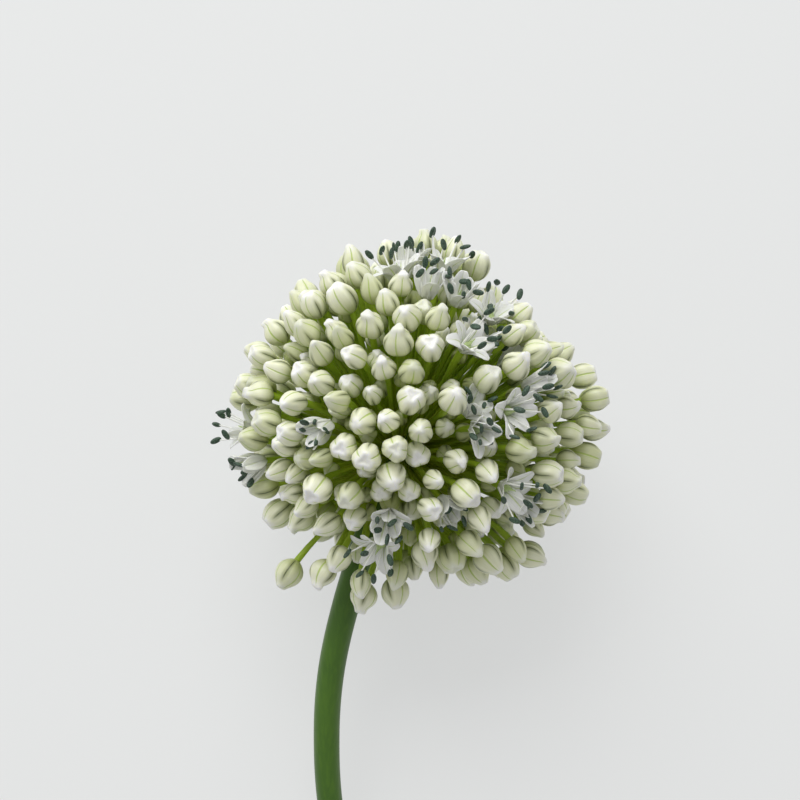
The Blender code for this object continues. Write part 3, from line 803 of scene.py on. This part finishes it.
# %% Floor
FLOOR_SIZE = 6.0
FLOOR_DROP = 0.05 * MM
FLOOR_GREY = (0.90, 0.91, 0.90, 1)
FLOOR_GLOW = (0.76, 0.77, 0.77, 1)
GLOW_SHARE = 0.72


def floor_finish():
    recipe = Recipe("pale_floor")
    ray = {name: recipe.node("ShaderNodeLightPath", {}, {}, name)
           for name in ("Is Camera Ray", "Is Glossy Ray", "Is Transmission Ray")}
    seen = recipe.node("ShaderNodeMath", {"operation": "MAXIMUM"}, {
        0: ray["Is Camera Ray"], 1: ray["Is Glossy Ray"] + ray["Is Transmission Ray"]})
    glow = recipe.node("ShaderNodeEmission", {}, {"Color": FLOOR_GLOW, "Strength": 1.0})
    recipe.surface(Base_Color=FLOOR_GREY, Roughness=0.9)
    plain = Value(recipe, recipe.shader.outputs[0])
    both = recipe.node("ShaderNodeMixShader", {}, {0: seen * GLOW_SHARE, 1: plain, 2: glow})
    recipe.feed(recipe.tree.nodes["Material Output"].inputs["Surface"], both)
    return recipe.material


deselect_all()
bpy.ops.mesh.primitive_plane_add(size=FLOOR_SIZE, location=(0, 0, -FLOOR_DROP))
floor = bpy.context.object
floor.name = "floor"
floor.data.materials.append(floor_finish())
print("floor", FLOOR_SIZE, "m across")

# %% [markdown]
# ## The closed bud
#
# A bud is shaped like a clove of garlic: narrow at its seat, fullest below its middle, then drawn in to a
# small blunt tip, and puffed between its veins and furrows. It starts as a sphere of twelve columns, four to
# each outer tepal: its vein, a furrow, and a swell on either side. Rings are scaled and slid to the outline,
# and columns are drawn in towards the axis. The sphere keeps its UV map through all of it. One level of
# subdivision then rounds it off, so that hundreds of copies stay light. Four kinds differ in outline.


# %% Tools for shaping in edit mode
def select_where(obj, chosen):
    """Selects the vertices that a test picks, in edit mode, and says how many there are."""
    bpy.ops.object.mode_set(mode="EDIT")
    bpy.ops.mesh.select_mode(type="VERT")
    bpy.ops.mesh.select_all(action="DESELECT")
    bpy.ops.object.mode_set(mode="OBJECT")
    count = 0
    for vertex in obj.data.vertices:
        vertex.select = chosen(vertex.co)
        count += vertex.select
    bpy.ops.object.mode_set(mode="EDIT")
    return count


def apply_subdivision(obj, levels=1):
    """Rounds a mesh with Subdivision Surface and makes the result its own."""
    bpy.ops.object.mode_set(mode="OBJECT")
    smooth = obj.modifiers.new("rounding", "SUBSURF")
    smooth.levels = smooth.render_levels = levels
    bpy.ops.object.modifier_apply(modifier=smooth.name)
    bpy.ops.object.shade_smooth()


# %% Model one bud, of length 1 and width 1
BUD_COLUMNS = 12
BUD_RINGS = 7
VEIN_COLUMN, FURROW_COLUMN = 2, 0
RING_TOLERANCE = 1e-4
OFF_AXIS = 1e-3
ON_COLUMN = 0.99
PARKED = 2


def on_column(co, side):
    """Whether a point off the axis stands in the column that side points at."""
    return co.xy.length > OFF_AXIS and co.xy.normalized().dot(side) > ON_COLUMN


def model_bud(name, outline, furrow_depth, puff, lobes, dimple, lean):
    """A closed bud that stands on the origin with its tip at 1 on Z.

    The outline gives the height and radius of each ring, from the seat up, as shares of the bud's length and
    half width. The top ring is split into lobes, the pole sinks by the dimple, and the top leans over."""
    deselect_all()
    bpy.ops.mesh.primitive_uv_sphere_add(
        segments=BUD_COLUMNS, ring_count=BUD_RINGS, radius=0.5, location=(0, 0, 0.5))
    bud = bpy.context.object
    bud.name = name
    bpy.ops.object.transform_apply(location=True)
    heights = [0.5 - 0.5 * math.cos(math.pi * k / BUD_RINGS) for k in range(1, BUD_RINGS)]
    rings = list(zip(heights, outline))
    for height, (wanted_height, wanted_radius) in reversed(rings):
        radius = 0.5 * math.sin(math.acos(1 - 2 * height))
        select_where(bud, lambda co: abs(co.z - height) < RING_TOLERANCE and co.xy.length > OFF_AXIS)
        scale = wanted_radius * 0.5 / radius
        bpy.ops.transform.resize(value=(scale, scale, 1), center_override=(0, 0, height))
        # Finished rings are parked higher up, so that no later ring's height finds them
        bpy.ops.transform.translate(value=(0, 0, wanted_height - height + PARKED))
    select_where(bud, lambda co: co.z > 1.5)
    bpy.ops.transform.translate(value=(0, 0, -PARKED))
    top = outline[-1][0]
    for column in range(BUD_COLUMNS):
        angle = 2 * math.pi * column / BUD_COLUMNS
        side = Vector((math.cos(angle), math.sin(angle)))
        share = {FURROW_COLUMN: 1 - furrow_depth, VEIN_COLUMN: 1.0}.get(column % 4, 1 + puff)
        select_where(bud, lambda co: on_column(co, side) and co.z < top - 0.01)
        bpy.ops.transform.resize(value=(share, share, 1), center_override=(0, 0, 0))
        share = 1 + lobes if column % 4 == VEIN_COLUMN else 1 - lobes * (column % 4 == FURROW_COLUMN)
        select_where(bud, lambda co: on_column(co, side) and co.z > top - 0.01)
        bpy.ops.transform.resize(value=(share, share, 1), center_override=(0, 0, 0))
    select_where(bud, lambda co: co.z > 0.99)
    bpy.ops.transform.translate(value=(0, 0, -dimple))
    select_where(bud, lambda co: co.z > outline[-2][0] + 0.01)
    bpy.ops.transform.translate(value=(lean, lean * 0.4, 0))
    apply_subdivision(bud)
    return bud


BUD_SHAPES = {
    "plump_bud": {
        "outline": ((0.05, 0.42), (0.22, 0.98), (0.45, 1.12), (0.68, 0.96), (0.86, 0.52), (0.97, 0.34)),
        "furrow_depth": 0.17, "puff": 0.05, "lobes": 0.30, "dimple": 0.02, "lean": 0.04},
    "pointed_bud": {
        "outline": ((0.05, 0.38), (0.20, 0.80), (0.42, 0.96), (0.64, 0.82), (0.82, 0.50), (0.96, 0.26)),
        "furrow_depth": 0.20, "puff": 0.03, "lobes": 0.25, "dimple": 0.0, "lean": 0.06},
    "lobed_bud": {
        "outline": ((0.05, 0.40), (0.22, 0.92), (0.46, 1.10), (0.70, 1.06), (0.86, 0.74), (0.99, 0.50)),
        "furrow_depth": 0.24, "puff": 0.05, "lobes": 0.48, "dimple": 0.16, "lean": 0.03},
    "lemon_bud": {
        "outline": ((0.05, 0.42), (0.22, 0.96), (0.46, 1.10), (0.66, 0.88), (0.78, 0.46), (0.94, 0.44)),
        "furrow_depth": 0.18, "puff": 0.04, "lobes": 0.30, "dimple": 0.05, "lean": 0.09},
}
bud_kinds = [model_bud(name, **shape) for name, shape in BUD_SHAPES.items()]
for bud in bud_kinds:
    bud.data.materials.append(bud_skin)
    print(bud.name, len(bud.data.polygons), "faces", [round(side, 2) for side in bud.dimensions])


# %% [markdown]
# ## An open flower
#
# Six tepals stand in two rings of three. Each starts as a flat grid, whose rows are scaled to the outline of
# a narrow leaf and slid up and back so that it curves away from the flower's axis. Solidify gives it a thin
# edge. Five kinds, from nearly closed to folded back, are dealt out at random, because no two tepals of a
# real head stand alike. The six stamens rise in front of them, and their anthers are long furrowed capsules.

# %% Model one tepal, of length 1
TEPAL_ROWS = 6
TEPAL_COLUMNS = 4
TEPAL_WIDTH = 0.46
TEPAL_WALL = 0.03
TEPAL_START = Vector((0.10, 0, 0))
FIRST_ANGLE = 0.25
LIFTED_OFF = 10


def model_tepal(name, spread, width):
    """A tepal that starts at the origin, runs up Z and curves away along X."""
    deselect_all()
    bpy.ops.mesh.primitive_grid_add(x_subdivisions=TEPAL_COLUMNS, y_subdivisions=TEPAL_ROWS, size=1)
    tepal = bpy.context.object
    tepal.name = name
    angle, place = FIRST_ANGLE, TEPAL_START.copy()
    for row in range(TEPAL_ROWS + 1):
        share = row / TEPAL_ROWS
        row_at = share - 0.5
        select_where(tepal, lambda co: abs(co.y - row_at) < 0.01 and co.z < 1)
        half = width * (0.22 + 0.95 * math.sin(math.pi * (0.08 + 0.86 * share)) ** 0.8)
        bpy.ops.transform.resize(value=(half, 1, 1), center_override=(0, row_at, 0))
        bpy.ops.transform.translate(value=(0, place.x - row_at, place.z + LIFTED_OFF))
        place += Vector((math.sin(angle), 0, math.cos(angle))) / TEPAL_ROWS
        angle += (spread - FIRST_ANGLE) * 1.6 / TEPAL_ROWS
    select_where(tepal, lambda co: abs(co.x) < 0.01)
    bpy.ops.transform.translate(value=(0, 0.035, -0.02))
    bpy.ops.mesh.select_all(action="SELECT")
    bpy.ops.transform.translate(value=(0, 0, -LIFTED_OFF))
    bpy.ops.object.mode_set(mode="OBJECT")
    wall = tepal.modifiers.new("thickness", "SOLIDIFY")
    wall.thickness = TEPAL_WALL
    wall.offset = 0
    bpy.ops.object.modifier_apply(modifier=wall.name)
    apply_subdivision(tepal)
    tepal.data.transform(Matrix.Rotation(-math.pi / 2, 4, "Z"))
    tepal.data.materials.append(tepal_skin)
    return tepal


# From nearly closed to folded back
TEPAL_SPREADS = (0.12, 0.45, 0.8, 1.1, 1.5)
tepal_kinds = [model_tepal("tepal", spread, TEPAL_WIDTH) for spread in TEPAL_SPREADS]
for tepal in tepal_kinds:
    print("a tepal has", len(tepal.data.polygons), "faces", [round(side, 2) for side in tepal.dimensions])


# %% Model one ovary and one stamen
def model_ovary():
    """The ovary: a ball with three soft lobes and a short style on top."""
    deselect_all()
    bpy.ops.mesh.primitive_uv_sphere_add(segments=12, ring_count=6, radius=0.5, location=(0, 0, 0.42))
    ovary = bpy.context.object
    ovary.name = "ovary"
    bpy.ops.object.transform_apply(location=True)
    for k in range(3):
        side = Vector((math.cos(2 * math.pi * k / 3), math.sin(2 * math.pi * k / 3)))
        select_where(ovary, lambda co: co.xy.length > 0.05 and co.xy.normalized().dot(side) > 0.99)
        bpy.ops.transform.resize(value=(0.78, 0.78, 1), center_override=(0, 0, 0.42))
    select_where(ovary, lambda co: co.z > 0.84)
    bpy.ops.mesh.select_mode(type="FACE")
    bpy.ops.transform.resize(value=(0.6, 0.6, 1), center_override=(0, 0, 0.85))
    bpy.ops.mesh.extrude_region_move(TRANSFORM_OT_translate={"value": (0, 0, 0.9)})
    bpy.ops.transform.resize(value=(0.25, 0.25, 1), center_override=(0, 0, 1.8))
    apply_subdivision(ovary)
    ovary.data.materials.append(ovary_skin)
    return ovary


def model_anther():
    """An anther of length 1: a capsule with a furrow down one side."""
    deselect_all()
    bpy.ops.mesh.primitive_uv_sphere_add(segments=8, ring_count=6, radius=0.5, location=(0, 0, 0))
    anther = bpy.context.object
    anther.name = "anther"
    bpy.ops.object.mode_set(mode="EDIT")
    bpy.ops.mesh.select_all(action="SELECT")
    bpy.ops.transform.resize(value=(0.56, 0.48, 1), center_override=(0, 0, 0))
    select_where(anther, lambda co: co.y > 0.1 and abs(co.x) < 0.02)
    bpy.ops.transform.resize(value=(1, 0.45, 1), center_override=(0, 0, 0))
    select_where(anther, lambda co: co.y < -0.1 and abs(co.x) < 0.02)
    bpy.ops.transform.resize(value=(1, 0.7, 1), center_override=(0, 0, 0))
    apply_subdivision(anther)
    anther.data.materials.append(anther_skin)
    return anther


ovary_kind, anther_kind = model_ovary(), model_anther()
print("ovary", len(ovary_kind.data.polygons), "faces; anther", len(anther_kind.data.polygons), "faces")


# %% Threads, copies and joins
def round_curve(name, bevel_resolution, resolution):
    """A curve for round, capped splines, whose half width at a point is the point's radius."""
    curve = bpy.data.curves.new(name, "CURVE")
    curve.dimensions = "3D"
    curve.bevel_depth = 1.0
    curve.bevel_resolution = bevel_resolution
    curve.resolution_u = resolution
    curve.use_fill_caps = True
    return curve


def mesh_from(curve, skin):
    """Turns a curve into a mesh with a finish, and leaves its object active."""
    made = bpy.data.objects.new(curve.name, curve)
    bpy.context.scene.collection.objects.link(made)
    deselect_all()
    made.select_set(True)
    bpy.context.view_layer.objects.active = made
    bpy.ops.object.convert(target="MESH")
    bpy.ops.object.shade_smooth()
    made.data.materials.append(skin)
    return made


def copy_of(kind, matrix):
    """A copy of a modelled part, with its own mesh, put in place by a matrix."""
    mesh = kind.data.copy()
    mesh.transform(matrix)
    made = bpy.data.objects.new(kind.name, mesh)
    bpy.context.scene.collection.objects.link(made)
    return made


def facing(axis, roll):
    """A turn that takes +Z to axis, after a roll about it."""
    return axis.to_track_quat("Z", "Y").to_matrix().to_4x4() @ Matrix.Rotation(roll, 4, "Z")


def join(pieces, name):
    """Joins pieces into the first of them, lays the result down and leaves it at the origin."""
    deselect_all()
    for piece in pieces:
        piece.select_set(True)
    bpy.context.view_layer.objects.active = pieces[0]
    bpy.ops.object.join()
    joined = bpy.context.object
    joined.name = joined.data.name = name
    joined.data.transform(laid)
    return joined


# %% Put one flower together
TEPAL_LENGTH = 6.6 * MM
STAMEN_LENGTH = 7.8 * MM
ANTHER_LENGTH = 2.4 * MM
OVARY_SIZE = 2.2 * MM
OVARY_LIFT = 0.3 * MM
FILAMENT_START = Vector((1.0, 0, 0.5)) * MM
FILAMENT_SIZES = (0.28 * MM, 0.11 * MM)
FILAMENT_BEND = 0.35
SWING, TWIST = 0.18, 0.3
TEPAL_LENGTHS = (0.88, 1.05)
STAMEN_LENGTHS = (0.72, 1.04)
STAMEN_LEANS = (0.1, 0.6)
ANTHER_ALONG = 1.2
ANTHER_ROLL = 6
FLOWER_SEED = 100


def model_filament(start, end, way):
    """A white thread that leaves along way and ends at end."""
    curve = round_curve("filament", 1, 4)
    spline = curve.splines.new("BEZIER")
    spline.bezier_points.add(1)
    reach = (end - start).length * FILAMENT_BEND
    for point, place, size in zip(spline.bezier_points, (start, end), FILAMENT_SIZES):
        point.co = place
        point.handle_left = place - way * reach
        point.handle_right = place + way * reach
        point.radius = size
    return mesh_from(curve, filament_skin)


def flower_pieces(floret, rng, spreads, stamen_share):
    """The parts of one flower: its ovary, six tepals taken from the kinds in spreads, and six stamens."""
    turned = Matrix.Translation(floret.seat) @ facing(floret.axis, rng.uniform(0, math.pi / 3))
    lifted_up = Matrix.Translation((0, 0, OVARY_LIFT)) @ Matrix.Scale(OVARY_SIZE, 4)
    pieces = [copy_of(ovary_kind, turned @ lifted_up)]
    for k in range(6):
        swing = Matrix.Rotation(math.pi * k / 3 + rng.uniform(-SWING, SWING), 4, "Z")
        twist = Matrix.Rotation(rng.uniform(-TWIST, TWIST), 4, "X")
        length = TEPAL_LENGTH * rng.uniform(*TEPAL_LENGTHS)
        kind = tepal_kinds[rng.choice(spreads[k % 2])]
        pieces.append(copy_of(kind, turned @ swing @ twist @ Matrix.Scale(length, 4)))
        lean = rng.uniform(*STAMEN_LEANS) * stamen_share
        way = (turned @ swing).to_3x3() @ Vector((math.sin(lean), 0, math.cos(lean)))
        start = turned @ (swing @ FILAMENT_START)
        end = start + way * STAMEN_LENGTH * rng.uniform(*STAMEN_LENGTHS) * stamen_share
        pieces.append(model_filament(start, end, way))
        anther_way = Vector([rng.uniform(-1, 1) for _ in range(3)]).normalized() + way * ANTHER_ALONG
        tipped = facing(anther_way, rng.uniform(0, ANTHER_ROLL))
        at_tip = Matrix.Translation(end) @ tipped @ Matrix.Scale(ANTHER_LENGTH, 4)
        pieces.append(copy_of(anther_kind, at_tip))
    return pieces


OPEN_SPREADS = ((2, 3, 3, 4), (1, 2, 3))
open_florets = [floret for floret in florets if floret.is_open]
for number, floret in enumerate(open_florets):
    parts = flower_pieces(floret, random.Random(FLOWER_SEED + number), OPEN_SPREADS, 1.0)
    flower = join(parts, f"open_flower_{number + 1:02d}_bloom")
    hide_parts(f"open_flower_{number + 1:02d}")
    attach(flower, "root")
print(len(open_florets), "open flowers, the last with", len(flower.data.polygons), "faces")

# %% [markdown]
# ## Cymes: pedicels and their buds
#
# The florets grow in little tufts, the cymes. Each tuft is one piece here too, and stands for the same
# tuft in the measured model. A pedicel is a Bezier curve, straight out of the tuft's foot and then bent a
# little to meet its bud, with a round bevel for its thickness. It swells just under the bud. Buds are copies
# of the ones above, rolled at random about their own axes, and the young ones are marked as less ripe. A few,
# most of them near the open flowers, have begun to part: they are flowers whose tepals hardly spread yet.

# %% Pedicels of one tuft
PEDICEL_WAIST = 0.42 * MM
PEDICEL_NECK = 0.74 * MM
PEDICEL_START = 0.9
PEDICEL_BEND_AT = 0.55
PEDICEL_BEND_WIDTH = 1.05
PEDICEL_END = 0.05
PEDICEL_HANDLE = 0.16


def bezier_pedicel(curve, floret):
    """Adds one pedicel to a curve: from the receptacle through its bend to its bud."""
    foot_way = (floret.foot - RECEPTACLE_CENTRE).normalized()
    inner = RECEPTACLE_CENTRE + foot_way * RECEPTACLE_RADIUS * PEDICEL_START
    stalk_way = (floret.seat - floret.foot).normalized()
    reach = (floret.seat - inner).length
    spline = curve.splines.new("BEZIER")
    spline.bezier_points.add(2)
    waist = floret.foot.lerp(floret.seat, PEDICEL_BEND_AT)
    neck = PEDICEL_NECK * floret.width / BUD_WIDTH
    sizes = (PEDICEL_WAIST, PEDICEL_WAIST * PEDICEL_BEND_WIDTH, neck)
    places = (inner, waist, floret.seat + floret.axis * floret.length * PEDICEL_END)
    ways = (stalk_way, stalk_way, (floret.axis + stalk_way).normalized())
    for point, place, way, size in zip(spline.bezier_points, places, ways, sizes):
        point.co = place
        point.handle_left = place - way * reach * PEDICEL_HANDLE
        point.handle_right = place + way * reach * PEDICEL_HANDLE
        point.radius = size


def model_pedicels(name, members):
    """The pedicels of a tuft, as one mesh."""
    curve = round_curve(name, 1, 3)
    for floret in members:
        bezier_pedicel(curve, floret)
    return mesh_from(curve, pedicel_skin)


# %% Copies of the buds
HALF_RIPE = 0.5
FLATTENED = (0.93, 1.06)


def stand_bud(floret, ripeness, rng):
    """A copy of one of the buds, on its seat, with its own mesh."""
    kind = bud_kinds[0] if ripeness < HALF_RIPE else rng.choice(bud_kinds)
    width = floret.width * rng.uniform(*FLATTENED)
    size = Matrix.Diagonal((width, floret.width, floret.length, 1))
    place = Matrix.Translation(floret.seat) @ facing(floret.axis, rng.uniform(0, 2 * math.pi))
    bud = copy_of(kind, place @ size)
    mark = bud.data.attributes.new("ripeness", "FLOAT", "POINT")
    mark.data.foreach_set("value", [ripeness] * len(bud.data.vertices))
    return bud


# %% Choose the buds that have begun to open
OPENING_WAYS = (
    Vector((0.42, -0.70, 0.58)), Vector((0.30, -0.58, 0.76)), Vector((0.70, -0.50, 0.50)),
    Vector((0.52, -0.84, 0.10)), Vector((0.72, -0.66, 0.22)), Vector((0.10, -0.45, 0.89)),
    Vector((-0.05, -0.20, 0.98)), Vector((0.34, -0.93, -0.02)), Vector((0.62, -0.62, -0.48)),
    Vector((-0.62, -0.78, -0.08)), Vector((-0.22, -0.72, -0.66)), Vector((-0.92, -0.30, -0.22)),
    Vector((0.25, -0.75, -0.61)), Vector((0.05, 0.62, 0.78)), Vector((-0.30, 0.90, 0.30)),
)
OPENING_SPREADS = ((0, 1, 1, 2), (0, 0, 1))
OPENING_STAMENS = 0.78
closed = [floret for floret in florets if not floret.is_open]
opening = set()


def nearness(floret, way):
    """How closely a floret faces a way. One that has been chosen already comes last."""
    return floret.middle().normalized().dot(way.normalized()) - (floret in opening)


for way in OPENING_WAYS:
    opening.add(max(closed, key=lambda floret: nearness(floret, way)))
print(len(opening), "buds have begun to open")

# %% Build the tufts
UNRIPE_SHARE = 0.45
YOUNG_RIPENESS = (0.2, 0.5)
BUD_SEED = 5
rng = random.Random(BUD_SEED)
bud_count = 0
for number in range(len(cyme_ways)):
    older = [floret for floret in florets if floret.cyme == number]
    younger = [floret for floret in young if floret.cyme == number]
    if not older:
        continue
    node = f"cyme_{number + 1:02d}"
    pieces = [model_pedicels(node + "_pedicels", older + younger)]
    shut = [floret for floret in older if not floret.is_open and floret not in opening]
    pieces += [stand_bud(floret, 1 - rng.random() ** 3 * UNRIPE_SHARE, rng) for floret in shut]
    pieces += [stand_bud(floret, rng.uniform(*YOUNG_RIPENESS), rng) for floret in younger]
    bud_count += len(pieces) - 1
    for floret in older:
        if floret in opening:
            pieces += flower_pieces(floret, rng, OPENING_SPREADS, OPENING_STAMENS)
    tuft = join(pieces, node + "_florets")
    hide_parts(node)
    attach(tuft, "root")
print(bud_count, "buds in all")
for kind in (*bud_kinds, *tepal_kinds, ovary_kind, anther_kind):
    bpy.data.objects.remove(kind)

# %% [markdown]
# ## The scape
#
# The thick bare stalk bends gently on its way down to a clean cut. It is a curve through the same points as
# the measured one, with a round bevel. Its top is a ball that swells out of it, where all the pedicels start.
# The cut end is inset and pushed in a little, because the soft flesh shrinks back from the rind.

# %% Model the scape
SCAPE_RINGS = 60
RIND = 0.35 * MM
FLESH_SINK = 0.25 * MM
WELD = 1e-6
SHARP_EDGE = math.radians(50)
CUT_TOLERANCE = 0.1 * MM


def model_scape():
    """The bare stalk, thinning a little from its top to its cut end."""
    curve = round_curve("scape_stalk", 8, 12)
    spline = curve.splines.new("POLY")
    spline.points.add(SCAPE_RINGS - 1)
    for k, (point, at) in enumerate(zip(spline.points, smooth_line(SCAPE_LINE, SCAPE_RINGS))):
        point.co = (*at, 1)
        point.radius = SCAPE_TOP_RADIUS + (SCAPE_CUT_RADIUS - SCAPE_TOP_RADIUS) * k / (SCAPE_RINGS - 1)
    stalk = mesh_from(curve, scape_skin)
    bpy.ops.object.mode_set(mode="EDIT")
    bpy.ops.mesh.select_all(action="SELECT")
    bpy.ops.mesh.remove_doubles(threshold=WELD)
    bpy.ops.mesh.normals_make_consistent(inside=False)
    bpy.ops.object.mode_set(mode="OBJECT")
    bpy.ops.object.shade_smooth_by_angle(angle=SHARP_EDGE)
    stalk.data.materials.append(cut_flesh)
    return stalk


def shrink_cut(stalk):
    """Insets the end face of the cut and sinks it, and gives it the look of flesh."""
    cut = SCAPE_LINE[-1]
    bpy.ops.object.mode_set(mode="EDIT")
    bpy.ops.mesh.select_mode(type="FACE")
    bpy.ops.mesh.select_all(action="DESELECT")
    bpy.ops.object.mode_set(mode="OBJECT")
    for face in stalk.data.polygons:
        face.select = (face.center - cut).length < CUT_TOLERANCE and len(face.vertices) > 4
    bpy.ops.object.mode_set(mode="EDIT")
    bpy.ops.mesh.inset(thickness=RIND)
    bpy.ops.mesh.extrude_region_shrink_fatten(TRANSFORM_OT_shrink_fatten={"value": -FLESH_SINK})
    stalk.active_material_index = 1
    bpy.ops.object.material_slot_assign()
    bpy.ops.object.mode_set(mode="OBJECT")


def model_receptacle():
    """The swollen top of the stalk."""
    deselect_all()
    bpy.ops.mesh.primitive_uv_sphere_add(
        segments=24, ring_count=14, radius=RECEPTACLE_RADIUS, location=RECEPTACLE_CENTRE)
    ball = bpy.context.object
    bpy.ops.object.transform_apply(location=True)
    bpy.ops.object.shade_smooth()
    ball.data.materials.append(scape_skin)
    return ball


stalk = model_scape()
shrink_cut(stalk)
scape = join([stalk, model_receptacle()], "scape_stalk")
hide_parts("scape")
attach(scape, "root")
print("scape has", len(scape.data.polygons), "faces")
